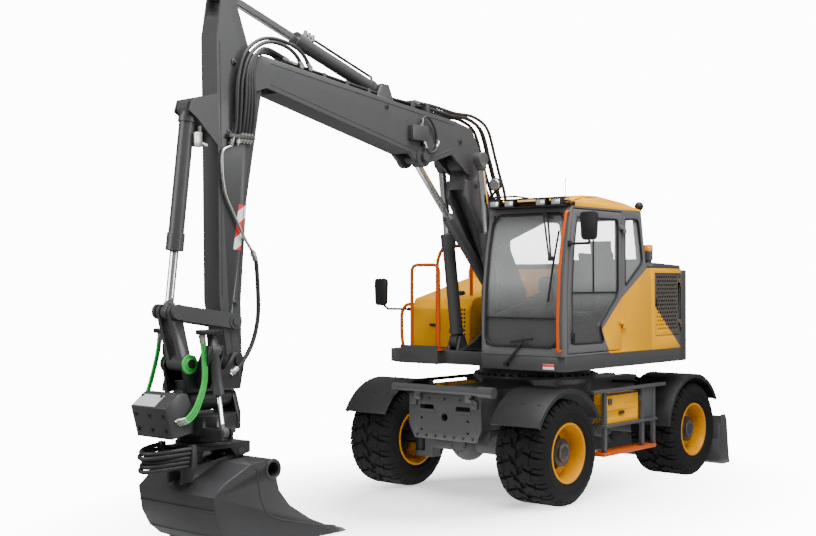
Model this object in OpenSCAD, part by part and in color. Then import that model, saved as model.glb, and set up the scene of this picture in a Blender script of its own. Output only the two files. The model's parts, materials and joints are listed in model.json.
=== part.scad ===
/* [Wheels and axles] */
// Outside diameter of a tyre, over its lugs
tyre_d = 1050; // [1000:1:1090]
// Section width of a tyre
tyre_w = 580; // [520:1:600]
// Diameter of the rim flange
rim_d = 596; // [560:1:620]
// Distance between the middles of a left and a right wheel
track = 1930; // [1900:1:1960]
// Distance between the front and the rear axle
wheelbase = 2580; // [2500:1:2700]
// Front axle ahead of the slewing axis
front_axle_x = 1200; // [1150:1:1250]
// Kingpin inwards from the middle of its wheel
king_in = 325; // [315:1:335]
// Radius of a wheel's spindle
spindle_r = 62; // [50:1:75]
// Inner radius of a mudguard
guard_r = 610; // [600:1:640]
// Sheet thickness of a mudguard
guard_t = 18; // [8:1:24]

/* [Chassis] */
// Width of the chassis beam
beam_w = 700; // [600:1:740]
// Underside of the chassis beam above ground
beam_bottom = 590; // [560:1:620]
// Top of the chassis beam above ground
beam_top = 1095; // [1060:1:1110]
// Front plate ahead of the front axle
plate_ahead = 372; // [350:1:380]
// Width across the top of the front plate
plate_w = 940; // [880:1:950]
// Outer radius of the slewing ring
ring_r = 620; // [550:1:700]
// Height of the slewing ring's top above ground
ring_top = 1318; // [1300:1:1330]
// Width over the side steps
steps_w = 2420; // [2380:1:2440]

/* [Blade] */
// Width of the dozer blade
blade_w = 2540; // [2400:1:2600]
// Height of the dozer blade
blade_h = 560; // [450:1:580]
// Blade's lower edge above ground at rest
blade_lift = 60; // [40:1:90]
// Blade's back behind the rear axle
blade_behind = 590; // [580:1:620]

/* [Upper structure] */
// Width over the upper structure
body_w = 2490; // [2440:1:2540]
// Radius of the counterweight's tail about the slewing axis
tail_r = 1720; // [1690:1:1760]
// Thickness of the deck
deck_t = 146; // [130:1:160]
// Front of the cab ahead of the slewing axis
cab_front = 1330; // [1300:1:1340]
// Inner side wall of the cab, left of the slewing axis
cab_inner_y = 262; // [255:1:280]
// Top of the cab's walls, under the roof
cab_top = 2945; // [2920:1:2970]
// Thickness of the cab's walls and door
cab_wall = 48; // [40:1:56]
// Rear edge of the cab door, at its hinges
door_rear = 220; // [200:1:240]
// Top of the engine house
house_top = 2345; // [2300:1:2370]
// Thickness of the engine house's panels
panel_t = 30; // [20:1:34]

/* [Boom] */
// Boom's middle plane, left of the slewing axis
boom_y = -90; // [-95:1:-85]
// Width of both booms
boom_w = 260; // [250:1:264]
// Width of the stick
stick_w = 200; // [190:1:204]
// Radius of the main pivot pins
pin_r = 45; // [38:1:48]
// Boom foot pin, ahead of the slewing axis
foot_x = 280; // [260:1:300]
// Boom foot pin, above ground
foot_z = 1750; // [1730:1:1770]
// Hinge between the booms, ahead of the slewing axis
knee_x = 1222; // [1200:1:1240]
// Hinge between the booms, above ground
knee_z = 3460; // [3440:1:3480]
// Pivot of the stick on the boom, ahead of the slewing axis
elbow_x = 4290; // [4260:1:4320]
// Pivot of the stick on the boom, above ground
elbow_z = 3930; // [3910:1:3950]
// Pin at the foot of the stick, ahead of the slewing axis
wrist_x = 4427; // [4420:1:4434]
// Pin at the foot of the stick, above ground
wrist_z = 1540; // [1530:1:1550]
// Distance between the middles of the two lift cylinders
lift_gap = 520; // [512:1:530]
// Radius of a lift cylinder's barrel
lift_r = 68; // [60:1:70]
// Radius of the other boom cylinders' barrels
arm_r = 64; // [56:1:68]

/* [Bucket and tilting rotator] */
// Width of the bucket
bucket_w = 950; // [900:1:1000]
// Plate thickness of the bucket
bucket_t = 16; // [10:1:20]
// Bucket's floor above ground at rest
bucket_lift = 14; // [10:1:20]
// Distance between the rotator's two attachment pins
hitch_span = 508; // [500:1:516]
// Height of the tilting axis above ground
tilt_z = 1230; // [1222:1:1236]
// Radius of the rotator's gear housing
rotor_r = 265; // [240:1:275]

/* [Hidden] */
$fn = 48;

// Running gap between faces of two pieces, and the wider gap beside an open rod eye
fit = 0.3;
side_gap = 8;

hub_z = tyre_d/2;
rear_axle_x = front_axle_x - wheelbase;
wheel_y = track/2;
king_y = wheel_y - king_in;
deck_bottom = ring_top + fit;
deck_top = deck_bottom + deck_t;
side_y = body_w/2;

dark = [0.16, 0.17, 0.18];
grey = [0.36, 0.37, 0.38];
black = [0.06, 0.06, 0.065];
yellow = [0.93, 0.67, 0.06];
orange = [0.90, 0.36, 0.05];
chrome = [0.78, 0.79, 0.80];
clear_tint = [0.45, 0.55, 0.58, 0.4];

// Plate with its outline in the side view, of width w about the plane at y
module slab(outline, y, w)
    translate([0, y + w/2, 0]) rotate([90, 0, 0]) linear_extrude(w) polygon(outline);

// Round bar across the machine, of width w about the plane at y
module cross(x, z, r, y, w)
    translate([x, y + w/2, z]) rotate([90, 0, 0]) cylinder(r=r, h=w);

// Round bar from one point to another
module bar(a, b, r) {
    v = b - a;
    translate(a) rotate([0, acos(v[2]/norm(v)), atan2(v[1], v[0])]) cylinder(r=r, h=norm(v));
}

// Bent tube through a list of points, round at its corners
module tube(path, r) {
    for (i = [0:len(path) - 2]) bar(path[i], path[i + 1], r);
    for (i = [1:len(path) - 2]) translate(path[i]) sphere(r=r + 1);
}

// Box between two corners
module box(a, b)
    translate(a) cube(b - a);

// Places what follows with its +Z from one point towards another
module along(a, b) {
    v = b - a;
    translate(a) rotate([0, acos(v[2]/norm(v)), atan2(v[1], v[0])]) children();
}

// Cylinder barrel on its base pin: an eye across the machine, a tube and a screwed head, bored for its rod
module barrel(a, b, len, r, rod_r, eye_r, eye_w, bore_r, axis=[0, 1, 0]) {
    head = 1.16*r;
    difference() {
        union() {
            along(a, b) translate([0, 0, 0.2*eye_r]) cylinder(r=min(r, eye_w/2) - 4, h=1.2*eye_r);
            along(a, b) translate([0, 0, 1.02*eye_r]) cylinder(r=r, h=len - 1.02*eye_r);
            along(a, b) translate([0, 0, len - 2.2*r]) cylinder(r=head, h=2.2*r);
            along(a, b) translate([0, 0, 1.1*eye_r]) cylinder(r=head, h=0.7*r);
            bar(a - axis*eye_w/2, a + axis*eye_w/2, eye_r);
        }
        along(a, b) translate([0, 0, 1.25*eye_r]) cylinder(r=rod_r + fit, h=len);
        bar(a - axis*eye_w, a + axis*eye_w, bore_r + fit);
    }
}

// Piston rod from its inner end to its eye at b
module piston(a, b, len, rod_r, eye_r, eye_w, axis=[0, 1, 0]) {
    along(b, a) translate([0, 0, 0.5*eye_r]) cylinder(r=rod_r, h=len - 0.5*eye_r);
    along(b, a) translate([0, 0, 0.5*eye_r]) cylinder(r=1.3*rod_r, h=0.8*eye_r);
    bar(b - axis*eye_w/2, b + axis*eye_w/2, eye_r);
}

// Left and right copies about the machine's middle plane
module both_sides()
    for (s = [-1, 1]) scale(1) mirror([0, s < 0 ? 1 : 0, 0]) children();

// Left and right copies about the boom's middle plane
module about_boom()
    translate([0, boom_y, 0]) both_sides() children();

front_plate_x = front_axle_x + plate_ahead;
beam_rear = rear_axle_x - 330;
blade_back_x = rear_axle_x - blade_behind;
blade_pin = [rear_axle_x - 255, 0, beam_bottom + 70];
blade_eye = [blade_back_x + 75, 0, blade_lift + 0.60*blade_h];
blade_base = [rear_axle_x - 130, 0, beam_top - 95];
blade_cyl_y = 120;
blade_slot = 62;
blade_arm_y = 300;

module chassis() color(dark) {
    beam_h = beam_top - beam_bottom;
    plate_low = 0.42*plate_w;
    difference() {
        union() {
            slab([[beam_rear, beam_bottom], [beam_rear, beam_top - 60], [beam_rear + 90, beam_top],
                [front_plate_x, beam_top], [front_plate_x, beam_bottom]], 0, beam_w);
            // flared top that carries the slewing ring
            translate([0, 0, beam_top]) cylinder(r1=ring_r, r2=ring_r + 60, h=60, $fn=96);
            translate([0, 0, beam_top + 60]) cylinder(r=ring_r + 60, h=30);
            translate([0, 0, beam_top + 90]) cylinder(r=ring_r, h=ring_top - beam_top - 90);
            translate([0, 0, beam_bottom]) cylinder(r=ring_r, h=beam_h);
            // front plate
            translate([front_plate_x, 0, 0]) rotate([90, 0, 90]) linear_extrude(36) polygon([
                [-plate_low, beam_bottom], [plate_low, beam_bottom], [plate_w/2, beam_bottom + 130],
                [plate_w/2, beam_top - 60], [plate_w/2 - 40, beam_top - 30],
                [40 - plate_w/2, beam_top - 30], [-plate_w/2, beam_top - 60], [-plate_w/2, beam_bottom + 130]]);
            // rear ears for the blade's arms and cylinders
            for (y = [-blade_arm_y, blade_arm_y])
                cross(blade_pin[0], blade_pin[2], 80, y, 90);
        }
        // hollow beam, open below between the axles
        slab([[beam_rear + 30, beam_bottom + 20], [beam_rear + 30, beam_top - 60],
            [front_plate_x - 20, beam_top - 60], [front_plate_x - 20, beam_bottom + 20]], 0, beam_w - 60);
        translate([0, 0, beam_bottom - 1]) cylinder(r=ring_r - 160, h=ring_top);
        // clearance over the axles
        for (x = [front_axle_x, rear_axle_x])
            box([x - 200, -beam_w, 0], [x + 200, beam_w, hub_z + 160]);
        // slots and holes of the front plate
        for (s = [-1, 1])
            box([front_plate_x - 40, s*235 - 90, beam_top - 200], [front_plate_x + 40, s*235 + 90, beam_top - 155]);
        translate([front_plate_x - 40, 0, beam_bottom + 230]) rotate([0, 90, 0]) cylinder(r=42, h=80);
        for (y = [-300, 300], z = [90, 210])
            translate([front_plate_x - 40, y, beam_bottom + z]) rotate([0, 90, 0]) cylinder(r=14, h=80);
        // blade arm and cylinder pins
        for (y = [-blade_arm_y, blade_arm_y])
            cross(blade_pin[0], blade_pin[2], 38 + fit, y, 200);
        for (y = [-blade_arm_y, blade_arm_y])
            box([beam_rear - 1, y - sign(y)*75 - 36, beam_bottom - 1], [blade_pin[0] + 100, y - sign(y)*75 + 36, blade_pin[2] + 160]);
        for (y = [-blade_cyl_y, blade_cyl_y])
            box([beam_rear - 1, y - blade_slot, beam_bottom - 1], [rear_axle_x - 40, y + blade_slot, beam_top + 1]);
    }
    for (y = [-blade_cyl_y, blade_cyl_y]) {
        for (s = [-1, 1])
            box([blade_base[0] - 55, y + s*(blade_slot + 10) - 11, blade_base[2] - 50],
                [blade_base[0] + 55, y + s*(blade_slot + 10) + 11, beam_top - 20]);
        cross(blade_base[0], blade_base[2], 30, y, 2*blade_slot + 30);
    }
}

// Axle beam with its differential, and ends that reach out along y
module axle_beam(x, reach) {
    cross(x, hub_z, 95, 0, 2*reach);
    translate([x, 0, hub_z]) scale(1) sphere(r=185);
    translate([x - 190, 0, hub_z]) rotate([0, 90, 0]) cylinder(r=95, h=380);
    for (y = [-beam_w/2 + 60, beam_w/2 - 60])
        box([x - 90, y - 50, hub_z], [x + 90, y + 50, hub_z + 160 - fit]);
}

module front_axle() color(grey) {
    fork = king_y - 105;
    difference() {
        union() {
            axle_beam(front_axle_x, fork - 60);
            both_sides() {
                box([front_axle_x - 70, fork - 100, hub_z - 185], [front_axle_x + 70, fork, hub_z + 185]);
                for (z = [-185, 125]) {
                    box([front_axle_x - 70, fork - 1, hub_z + z], [front_axle_x + 70, king_y, hub_z + z + 60]);
                    translate([front_axle_x, king_y, hub_z + z]) cylinder(r=70, h=60);
                }
            }
            // steering cylinder held along the back of the beam
            cross(front_axle_x - 150, hub_z + 20, 48, 0, 420);
            for (y = [-150, 150]) box([front_axle_x - 150, y - 25, hub_z - 20], [front_axle_x - 60, y + 25, hub_z + 60]);
        }
        cross(front_axle_x - 150, hub_z + 20, 24 + fit, 0, 440);
        both_sides() translate([front_axle_x, king_y, hub_z - 250]) cylinder(r=38 + fit, h=500);
    }
}

module rear_axle() color(grey) {
    axle_beam(rear_axle_x, king_y + 40);
    both_sides() {
        translate([rear_axle_x, king_y - 60, hub_z]) rotate([-90, 0, 0]) cylinder(r=140, h=100);
        translate([rear_axle_x, king_y + 40, hub_z]) rotate([-90, 0, 0])
            cylinder(r=spindle_r, h=wheel_y + 60 - king_y - 40);
    }
}

// Knuckle on its kingpin, with spindle, steering arm and the strut of the mudguard that turns with the wheel
module knuckle() {
    strut = [front_axle_x - 160, king_y - 12, hub_z];
    translate([front_axle_x, king_y, hub_z - 122]) cylinder(r=62, h=244);
    translate([front_axle_x, king_y, hub_z - 185]) cylinder(r=38, h=370);
    translate([front_axle_x, king_y, hub_z]) rotate([-90, 0, 0]) cylinder(r=spindle_r, h=wheel_y + 60 - king_y);
    box([front_axle_x - 190, king_y - 40, hub_z - 25], [front_axle_x - 30, king_y + 15, hub_z + 25]);
    bar(strut, strut + [0, 0, guard_r + 6], 20);
    bar(strut + [0, 0, guard_r - 30], [strut[0], wheel_y, hub_z + guard_r - 30], 20);
    guard(front_axle_x, 28, 152);
}
module knuckle_l() color(black) knuckle();
module knuckle_r() color(black) mirror([0, 1, 0]) knuckle();

module steering_rod() color(chrome) {
    reach = king_y - 75;
    cross(front_axle_x - 150, hub_z + 20, 24, 0, 2*reach);
    for (y = [-reach + 30, reach - 30]) cross(front_axle_x - 150, hub_z + 20, 34, y, 60);
}

// Mudguard sheet over one wheel, between two angles up from straight ahead
module guard(x, from, to) {
    width = tyre_w - 10;
    translate([x, wheel_y + width/2, hub_z]) rotate([90, 0, 0]) {
        rotate([0, 0, from]) rotate_extrude(angle=to - from, $fn=180) translate([guard_r, 0]) square([guard_t, width]);
        rotate([0, 0, from]) rotate_extrude(angle=to - from, $fn=180) translate([guard_r - 28, 0]) square([29, 16]);
    }
}

module rear_guards() color(black) both_sides() {
    guard(rear_axle_x, 8, 150);
    // stays from the beam
    for (x = [rear_axle_x + 290, rear_axle_x - 232])
        tube([[x, beam_w/2 + fit, beam_top - 52], [x, wheel_y, beam_top - 52],
            [x, wheel_y, hub_z + sqrt(guard_r*guard_r - pow(x - rear_axle_x, 2)) + 8]], 20);
}

box_front = front_axle_x - 720;
box_rear = rear_axle_x + 1100;
step_y = steps_w/2;

module side_steps() color(grey) both_sides() {
    // upper rail, step frame and the arms that carry them from the beam
    box([rear_axle_x + 600, step_y - 60, beam_top - 35], [front_axle_x - 500, step_y, beam_top]);
    box([rear_axle_x + 790, step_y - 190, 700], [box_front, step_y, 726]);
    for (x = [rear_axle_x + 800, box_rear - 60, box_front - 60])
        box([x, step_y - 60, 445], [x + 50, step_y - 20, beam_top - 35]);
    for (x = [box_rear - 60, box_front - 200]) {
        difference() {
            box([x, beam_w/2 + fit, beam_top - 170], [x + 60, step_y - 40, beam_top - 110]);
            cylinder(r=ring_r + fit, h=beam_top);
        }
    }
    box([rear_axle_x + 800, step_y - 190, 726], [rear_axle_x + 812, step_y - 60, beam_top - 35]);
}

module tool_boxes() color(yellow) both_sides() difference() {
    box([box_rear, step_y - 190, 726 + fit], [box_front - 60 - fit, step_y - 60 - fit, beam_top - 170 - fit]);
    box([box_rear + 60, step_y - 64, 790], [box_front - 120, step_y - 60, beam_top - 230]);
}

module low_steps() color(orange) both_sides()
    box([rear_axle_x + 800, step_y - 190, 405], [box_front + 20, step_y - 10, 444.7]);

module front_bar() color(black) {
    x = front_plate_x + 70;
    cross(x, beam_top + 10, 40, 0, 1300);
    cross(x, beam_top + 10, 55, 560, 180);
    for (y = [-330, 330]) box([front_plate_x + 36, y - 40, beam_top - 110], [x, y + 40, beam_top + 20]);
}

module tyre(x, s) color(black) {
    half = tyre_w/2;
    bead = half - 45;
    translate([x, s*wheel_y, hub_z]) rotate([90, 0, 0]) rotate_extrude($fn=96) polygon([
        [rim_d/2 - 20 + fit, -bead], [rim_d/2 + fit, -bead - 10], [rim_d/2 + 8, -bead - 24], [rim_d/2 + 90, -half], [hub_z - 60, -half + 8],
        [hub_z - 14, -half + 40], [hub_z, -half + 90], [hub_z, half - 90], [hub_z - 14, half - 40],
        [hub_z - 60, half - 8], [rim_d/2 + 90, half], [rim_d/2 + 8, bead + 24],
        [rim_d/2 + fit, bead + 10], [rim_d/2 - 20 + fit, bead]]);
}
module tyre_fl() tyre(front_axle_x, 1);
module tyre_fr() tyre(front_axle_x, -1);
module tyre_rl() tyre(rear_axle_x, 1);
module tyre_rr() tyre(rear_axle_x, -1);

// Dished steel rim with its planetary hub; +Z points outwards
module rim(x, s) color(orange) {
    bead = tyre_w/2 - 45;
    r = rim_d/2;
    translate([x, s*wheel_y, hub_z]) rotate([-90*s, 0, 0]) difference() {
        union() {
            rotate_extrude($fn=96) polygon([[r - 20, -bead - 22], [r, -bead - 22], [r, -bead - 12], [r - 20, -bead - 2],
                [r - 20, bead + 2], [r, bead + 12], [r, bead + 22], [r - 22, bead + 22], [r - 40, bead - 40],
                [r - 50, 85], [175, 75], [165, 60], [r - 60, 55], [r - 45, -bead + 30]]);
            translate([0, 0, -40]) cylinder(r=180, h=112);
            cylinder(r=140, h=190);
            cylinder(r=95, h=215);
            for (a = [0:36:324]) rotate([0, 0, a]) translate([158, 0, 70]) cylinder(r=13, h=30);
        }
        translate([0, 0, -100]) cylinder(r=spindle_r + fit, h=160 + fit);
    }
}
module rim_fl() rim(front_axle_x, 1);
module rim_fr() rim(front_axle_x, -1);
module rim_rl() rim(rear_axle_x, 1);
module rim_rr() rim(rear_axle_x, -1);

module blade() color(dark) {
    back = blade_back_x;
    low = blade_lift;
    top = blade_lift + blade_h;
            // curved mouldboard between two end plates
            slab([[back - 10, low + 30], [back - 60, low], [back - 130, low], [back - 60, low + 170], [back - 45, low + 300],
                [back - 70, low + 430], [back - 130, top - 20], [back - 120, top], [back - 60, top],
                [back, low + 430], [back + 12, low + 300]], 0, blade_w - 40);
            both_sides() slab([[back - 15, low + 20], [back - 60, low], [back - 250, low], [back - 220, low + 90],
                [back - 170, top - 60], [back - 130, top + 20], [back - 30, top + 20]], blade_w/2 - 10, 20);
            // arms to the chassis and ears for the cylinders
            for (y = [-blade_arm_y, blade_arm_y]) {
                slab([[blade_pin[0] + 20, blade_pin[2] + 70], [blade_pin[0] - 60, blade_pin[2] + 70],
                    [back - 6, low + 400], [back - 6, low + 130], [blade_pin[0] + 20, blade_pin[2] - 75]], y - sign(y)*75, 56);
                cross(blade_pin[0], blade_pin[2], 75, y - sign(y)*75, 56);
                cross(blade_pin[0], blade_pin[2], 38, y - sign(y)*25, 140);
            }
            for (y = [-blade_cyl_y, blade_cyl_y], s = [-1, 1])
                slab([[back - 20, blade_eye[2] - 100], [blade_eye[0] + 30, blade_eye[2] - 50], [blade_eye[0] + 45, blade_eye[2] + 30],
                    [blade_eye[0], blade_eye[2] + 55], [back - 25, blade_eye[2] + 90]], y + s*(32 + side_gap + 8), 16);
}

module blade_barrels() color(dark) for (y = [-blade_cyl_y, blade_cyl_y])
    barrel(blade_base + [0, y, 0], blade_eye + [0, y, 0], 430, 48, 26, 52, 80, 30);

module blade_rods() color(chrome) for (y = [-blade_cyl_y, blade_cyl_y])
    piston(blade_base + [0, y, 0], blade_eye + [0, y, 0], 480, 26, 44, 60);

house_front = -400;
house_rear = -1060;
tail_top = house_top - 15;
tower_t = 40;
tower_in = boom_w/2 + side_gap;
lift_base = [950, 0, 1565];
door_front = cab_front - 92;
door_low = deck_top + 30;
hinge_y = side_y + 24;

module deck() color(dark) difference() {
    union() {
        translate([0, 0, deck_bottom]) linear_extrude(deck_t) polygon([[cab_front, cab_inner_y],
            [cab_front, side_y - 60], [cab_front - 60, side_y], [house_rear, side_y], [house_rear, -side_y],
            [820, -side_y], [1080, 60 - side_y], [1200, -950], [1200, boom_y - 330], [1080, boom_y - 330],
            [1080, cab_inner_y]]);
        // boom tower: two plates about the foot, and ears for the lift cylinders
        about_boom() {
            slab([[-60, deck_top - 1], [foot_x - 120, foot_z], [foot_x - 60, foot_z + 105],
                [foot_x + 90, foot_z + 95], [800, deck_top + 90], [1040, deck_top - 1]], tower_in + tower_t/2, tower_t);
            cross(lift_base[0], lift_base[2], 34, lift_gap/2, 150);
            for (y = [-62, 62])
                slab([[lift_base[0] - 110, deck_top - 1], [lift_base[0] - 45, lift_base[2] + 55],
                    [lift_base[0] + 40, lift_base[2] + 55], [lift_base[0] + 90, deck_top - 1]], lift_gap/2 + y, 26);
        }
        cross(foot_x, foot_z, pin_r, boom_y, 2*(tower_in + tower_t));
        about_boom() cross(foot_x, foot_z, 88, tower_in + tower_t + 7, 14);
        // upstand and front ribs of the right platform
        box([1190, -940, deck_top - 1], [1200, boom_y - 340, deck_top + 50]);
    }
    // room for the lift cylinders' eyes and for the swivel in the middle
    translate([0, 0, deck_bottom - 1]) cylinder(r=ring_r - 220, h=deck_t - 40);
}

// Side outline of the cab between its front and rear, from the deck to the roof
function cab_side(inset) = [[cab_front - inset, deck_top + inset], [cab_front - inset, 1830],
    [cab_front - 18 - inset, 2150], [cab_front - 70 - inset, 2520], [cab_front - 165 - inset, cab_top - inset],
    [-185 + inset, cab_top - inset], [house_front + 120 + inset, 2390], [house_front + inset, 2250],
    [house_front + inset, deck_top + inset]];

module cab_shell() color(dark) {
    mid = (cab_inner_y + side_y)/2;
    width = side_y - cab_inner_y;
    difference() {
        slab(cab_side(0), mid, width);
        slab(cab_side(cab_wall), mid, width - 2*cab_wall);
        // doorway in the left wall
        slab(door_outline(-8), side_y, 4*cab_wall);
        // rear quarter window, right window, windscreen, lower front window and rear window
        slab(quarter_pane(0), side_y, 4*cab_wall);
        slab(right_pane(0), cab_inner_y, 4*cab_wall);
        box([cab_front - 300, cab_inner_y + 55, screen_joint], [cab_front + 60, side_y - 55, cab_top - 70]);
        box([cab_front - 60, cab_inner_y + 55, deck_top + 90], [cab_front + 60, side_y - 55, screen_joint + 60]);
        box([house_front - 60, cab_inner_y + 90, 2440], [house_front + 320, side_y - 90, cab_top - 90]);
    }
    // floor console and hinge knuckles of the door
    box([330, cab_inner_y + cab_wall - 1, deck_top + cab_wall - 1], [760, cab_inner_y + 210, 1930]);
    for (z = [1720, 2700]) {
        box([door_rear - 70, side_y - 1, z], [door_rear - 20, hinge_y, z + 40]);
        translate([door_rear - 5, hinge_y, z]) cylinder(r=18, h=40);
        translate([door_rear - 5, hinge_y, z + 39]) cylinder(r=8, h=41);
        box([door_rear - 30, hinge_y - 12, z], [door_rear - 5, hinge_y + 6, z + 40]);
    }
}

// Door outline, drawn in by an inset; hinged at its rear edge
function door_outline(inset) = [[door_front - inset, door_low + inset], [door_front - inset, 2060],
    [door_front - 30 - inset, 2480], [door_front - 105 - inset, cab_top - 30 - inset],
    [door_rear + inset, cab_top - 30 - inset], [door_rear + inset, door_low + inset]];
function door_pane(inset) = [[door_front - 75 - inset, door_low + 90 + inset], [door_front - 75 - inset, 2060],
    [door_front - 105 - inset, 2480], [door_front - 170 - inset, cab_top - 105 - inset],
    [door_rear + 70 + inset, cab_top - 105 - inset], [door_rear + 70 + inset, 2070 + inset],
    [640 + inset, 1760 + inset], [560 + inset, door_low + 90 + inset]];
function quarter_pane(inset) = [[door_rear - 70 - inset, cab_top - 90 - inset], [-120 + inset, cab_top - 90 - inset],
    [-215 + inset, 2410 + inset], [door_rear - 70 - inset, 2150 + inset]];
function right_pane(inset) = [[cab_front - 150 - inset, 1850 + inset], [cab_front - 260 - inset, cab_top - 90 - inset],
    [-110 + inset, cab_top - 90 - inset], [-200 + inset, 2420 + inset], [250, 2080 + inset]];

pane_t = 8;
screen_joint = 1840;

module cab_glass() color(clear_tint) {
    mid = (cab_inner_y + side_y)/2;
    width = side_y - cab_inner_y;
    slab(quarter_pane(0), side_y - cab_wall/2, pane_t);
    slab(right_pane(0), cab_inner_y + cab_wall/2, pane_t);
    // windscreen follows the slanted front
    intersection() {
        difference() {
            slab(cab_side(18), mid, width - 110);
            slab(cab_side(18 + pane_t), mid, width);
        }
        box([cab_front - 300, cab_inner_y, screen_joint], [cab_front, side_y, cab_top - 70]);
    }
    box([cab_front - 18 - pane_t, cab_inner_y + 55, deck_top + 90], [cab_front - 18, side_y - 55, screen_joint - 6]);
    intersection() {
        difference() {
            slab(cab_side(18), mid, width - 180);
            slab(cab_side(18 + pane_t), mid, width);
        }
        box([house_front - 60, cab_inner_y, 2440], [house_front + 320, side_y, cab_top - 90]);
    }
}

module cab_roof() color(yellow) {
    mid = (cab_inner_y + side_y)/2;
    width = side_y - cab_inner_y;
    slab([[cab_front - 150, cab_top + fit], [cab_front - 130, cab_top + 40], [900, cab_top + 118], [620, cab_top + 125],
        [150, cab_top + 85], [-190, cab_top + 25], [-215, cab_top + fit]], mid, width - 90);
    slab([[cab_front - 150, cab_top + fit], [cab_front - 140, cab_top + 30], [900, cab_top + 85], [620, cab_top + 90],
        [150, cab_top + 55], [-200, cab_top + 10], [-210, cab_top + fit]], mid, width);
}

module cab_lamps() color(black) {
    // row of work lamps under the roof's front, and a round lamp behind it
    for (y = [cab_inner_y + 120, cab_inner_y + 300, side_y - 300, side_y - 120])
        box([cab_front - 130 + fit, y - 62, cab_top + fit], [cab_front - 62, y + 62, cab_top + 78]);
    translate([-245, side_y - 62, cab_top - 10]) cylinder(r=14, h=60);
    translate([-245, side_y - 62, cab_top + 60]) sphere(r=48);
    box([-262, side_y - 82, cab_top - 40], [-192.3, side_y - 42, cab_top - 8]);
}

module seat() color(grey) {
    mid = (cab_inner_y + side_y)/2 + 30;
    box([20, mid - 180, deck_top + cab_wall], [420, mid + 180, deck_top + 300]);
    slab([[520, deck_top + 300], [540, deck_top + 420], [40, deck_top + 420], [-60, deck_top + 1150],
        [-180, deck_top + 1150], [-70, deck_top + 300]], mid, 480);
    for (s = [-1, 1]) box([60, mid + s*285 - 45, deck_top + 480], [470, mid + s*285 + 45, deck_top + 560]);
    for (s = [-1, 1]) box([10, mid + s*255 - 30, deck_top + 400], [70, mid + s*255 + 30, deck_top + 520]);
    translate([410, mid - 285, deck_top + 559]) cylinder(r=22, h=150);
    translate([410, mid + 285, deck_top + 559]) cylinder(r=22, h=150);
    // steering column with its wheel
    translate([860, mid, deck_top + cab_wall]) cylinder(r=70, h=40);
    bar([857, mid, deck_top + cab_wall + 20], [752, mid, deck_top + 736], 45);
    translate([750, mid, deck_top + 740]) rotate([0, -12, 0]) rotate_extrude() translate([170, 0]) circle(r=16);
    translate([750, mid, deck_top + 740]) rotate([0, -12, 0]) box([-165, -14, -10], [165, 14, 10]);
}

module door() color(dark) {
    difference() {
        slab(door_outline(0), side_y - cab_wall/2, cab_wall);
        slab(door_pane(0), side_y, 4*cab_wall);
        translate([door_front - 90, side_y + 1, 1640]) rotate([90, 0, 0]) cylinder(r=30, h=22);
    }
    for (z = [1760 + fit, 2740 + fit]) {
        difference() {
            union() {
                translate([door_rear - 5, hinge_y, z]) cylinder(r=18, h=40);
                box([door_rear - 5, hinge_y - 12, z], [door_rear + 30, hinge_y + 6, z + 40]);
                box([door_rear + 10, side_y - 1, z], [door_rear + 60, hinge_y + 6, z + 40]);
            }
            translate([door_rear - 5, hinge_y, z - 1]) cylinder(r=8 + fit, h=50);
        }
    }
}

module door_glass() color(clear_tint) slab(door_pane(0), side_y - cab_wall/2, pane_t);

module counterweight() color(dark) {
    intersection() {
        translate([0, 0, deck_bottom]) cylinder(r=tail_r, h=tail_top - deck_bottom, $fn=128);
        union() {
            box([-tail_r, -side_y, deck_bottom], [house_rear - fit, side_y, tail_top - 160]);
            slab([[house_rear - fit, tail_top - 161], [house_rear - fit, tail_top], [-tail_r + 190, tail_top],
                [-tail_r, tail_top - 161]], 0, body_w);
        }
    }
}

hood_pin = [house_rear + 2, house_top + fit];
hood_knuckles = [-900, 0, 900];
knuckle_r0 = 10;
grille_x = [-1030, -478];
grille_z = [1610, 2285];

// Hinges of the radiator bay's door, level by level
module grille_hinge(z) {
    box([grille_x[0] - 28, side_y - 1, z], [grille_x[0] + 2, side_y + 14, z + 40]);
    translate([grille_x[0] + 2, side_y + 12, z]) cylinder(r=11, h=40);
    translate([grille_x[0] + 2, side_y + 12, z + 39]) cylinder(r=5, h=41);
}
module engine_house() color(yellow) {
    house_walls();
    for (z = [1700, 2150]) grille_hinge(z);
}
module house_walls() difference() {
    box([house_rear, -side_y, deck_top], [house_front - fit, side_y, house_top]);
    box([house_rear + panel_t, panel_t - side_y, deck_top - 1], [house_front - panel_t, side_y - panel_t, house_top + 1]);
    box([grille_x[0], 0, grille_z[0]], [grille_x[1], side_y + 1, grille_z[1]]);
    // seats of the lid's hinge knuckles
    for (y = hood_knuckles) cross(hood_pin[0], hood_pin[1], knuckle_r0 + fit, y, 202);
}

module engine() color(grey)
    box([house_rear + 90, -850, deck_top + fit], [house_front - 110, 500, 2200]);

// Top lid of the engine house, hinged along its rear edge
module hood() color(yellow) {
    difference() {
            slab([[house_rear + 2, house_top + fit], [house_rear + 20, house_top + 36], [house_front - 80, house_top + 60],
                [house_front - 10, house_top + 30], [house_front - 4, house_top + fit]], 0, body_w - 8);
        // louvres in the lid's right half
        for (x = [-900:90:-580]) box([x, -800, house_top + 20], [x + 30, -200, house_top + 80]);
    }
    for (y = hood_knuckles) cross(hood_pin[0], hood_pin[1], knuckle_r0, y, 200);
    // beacon
    translate([-583, side_y - 145, house_top + 40]) cylinder(r=40, h=60);
    translate([-583, side_y - 145, house_top + 90]) cylinder(r=52, h=165);
}

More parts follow.
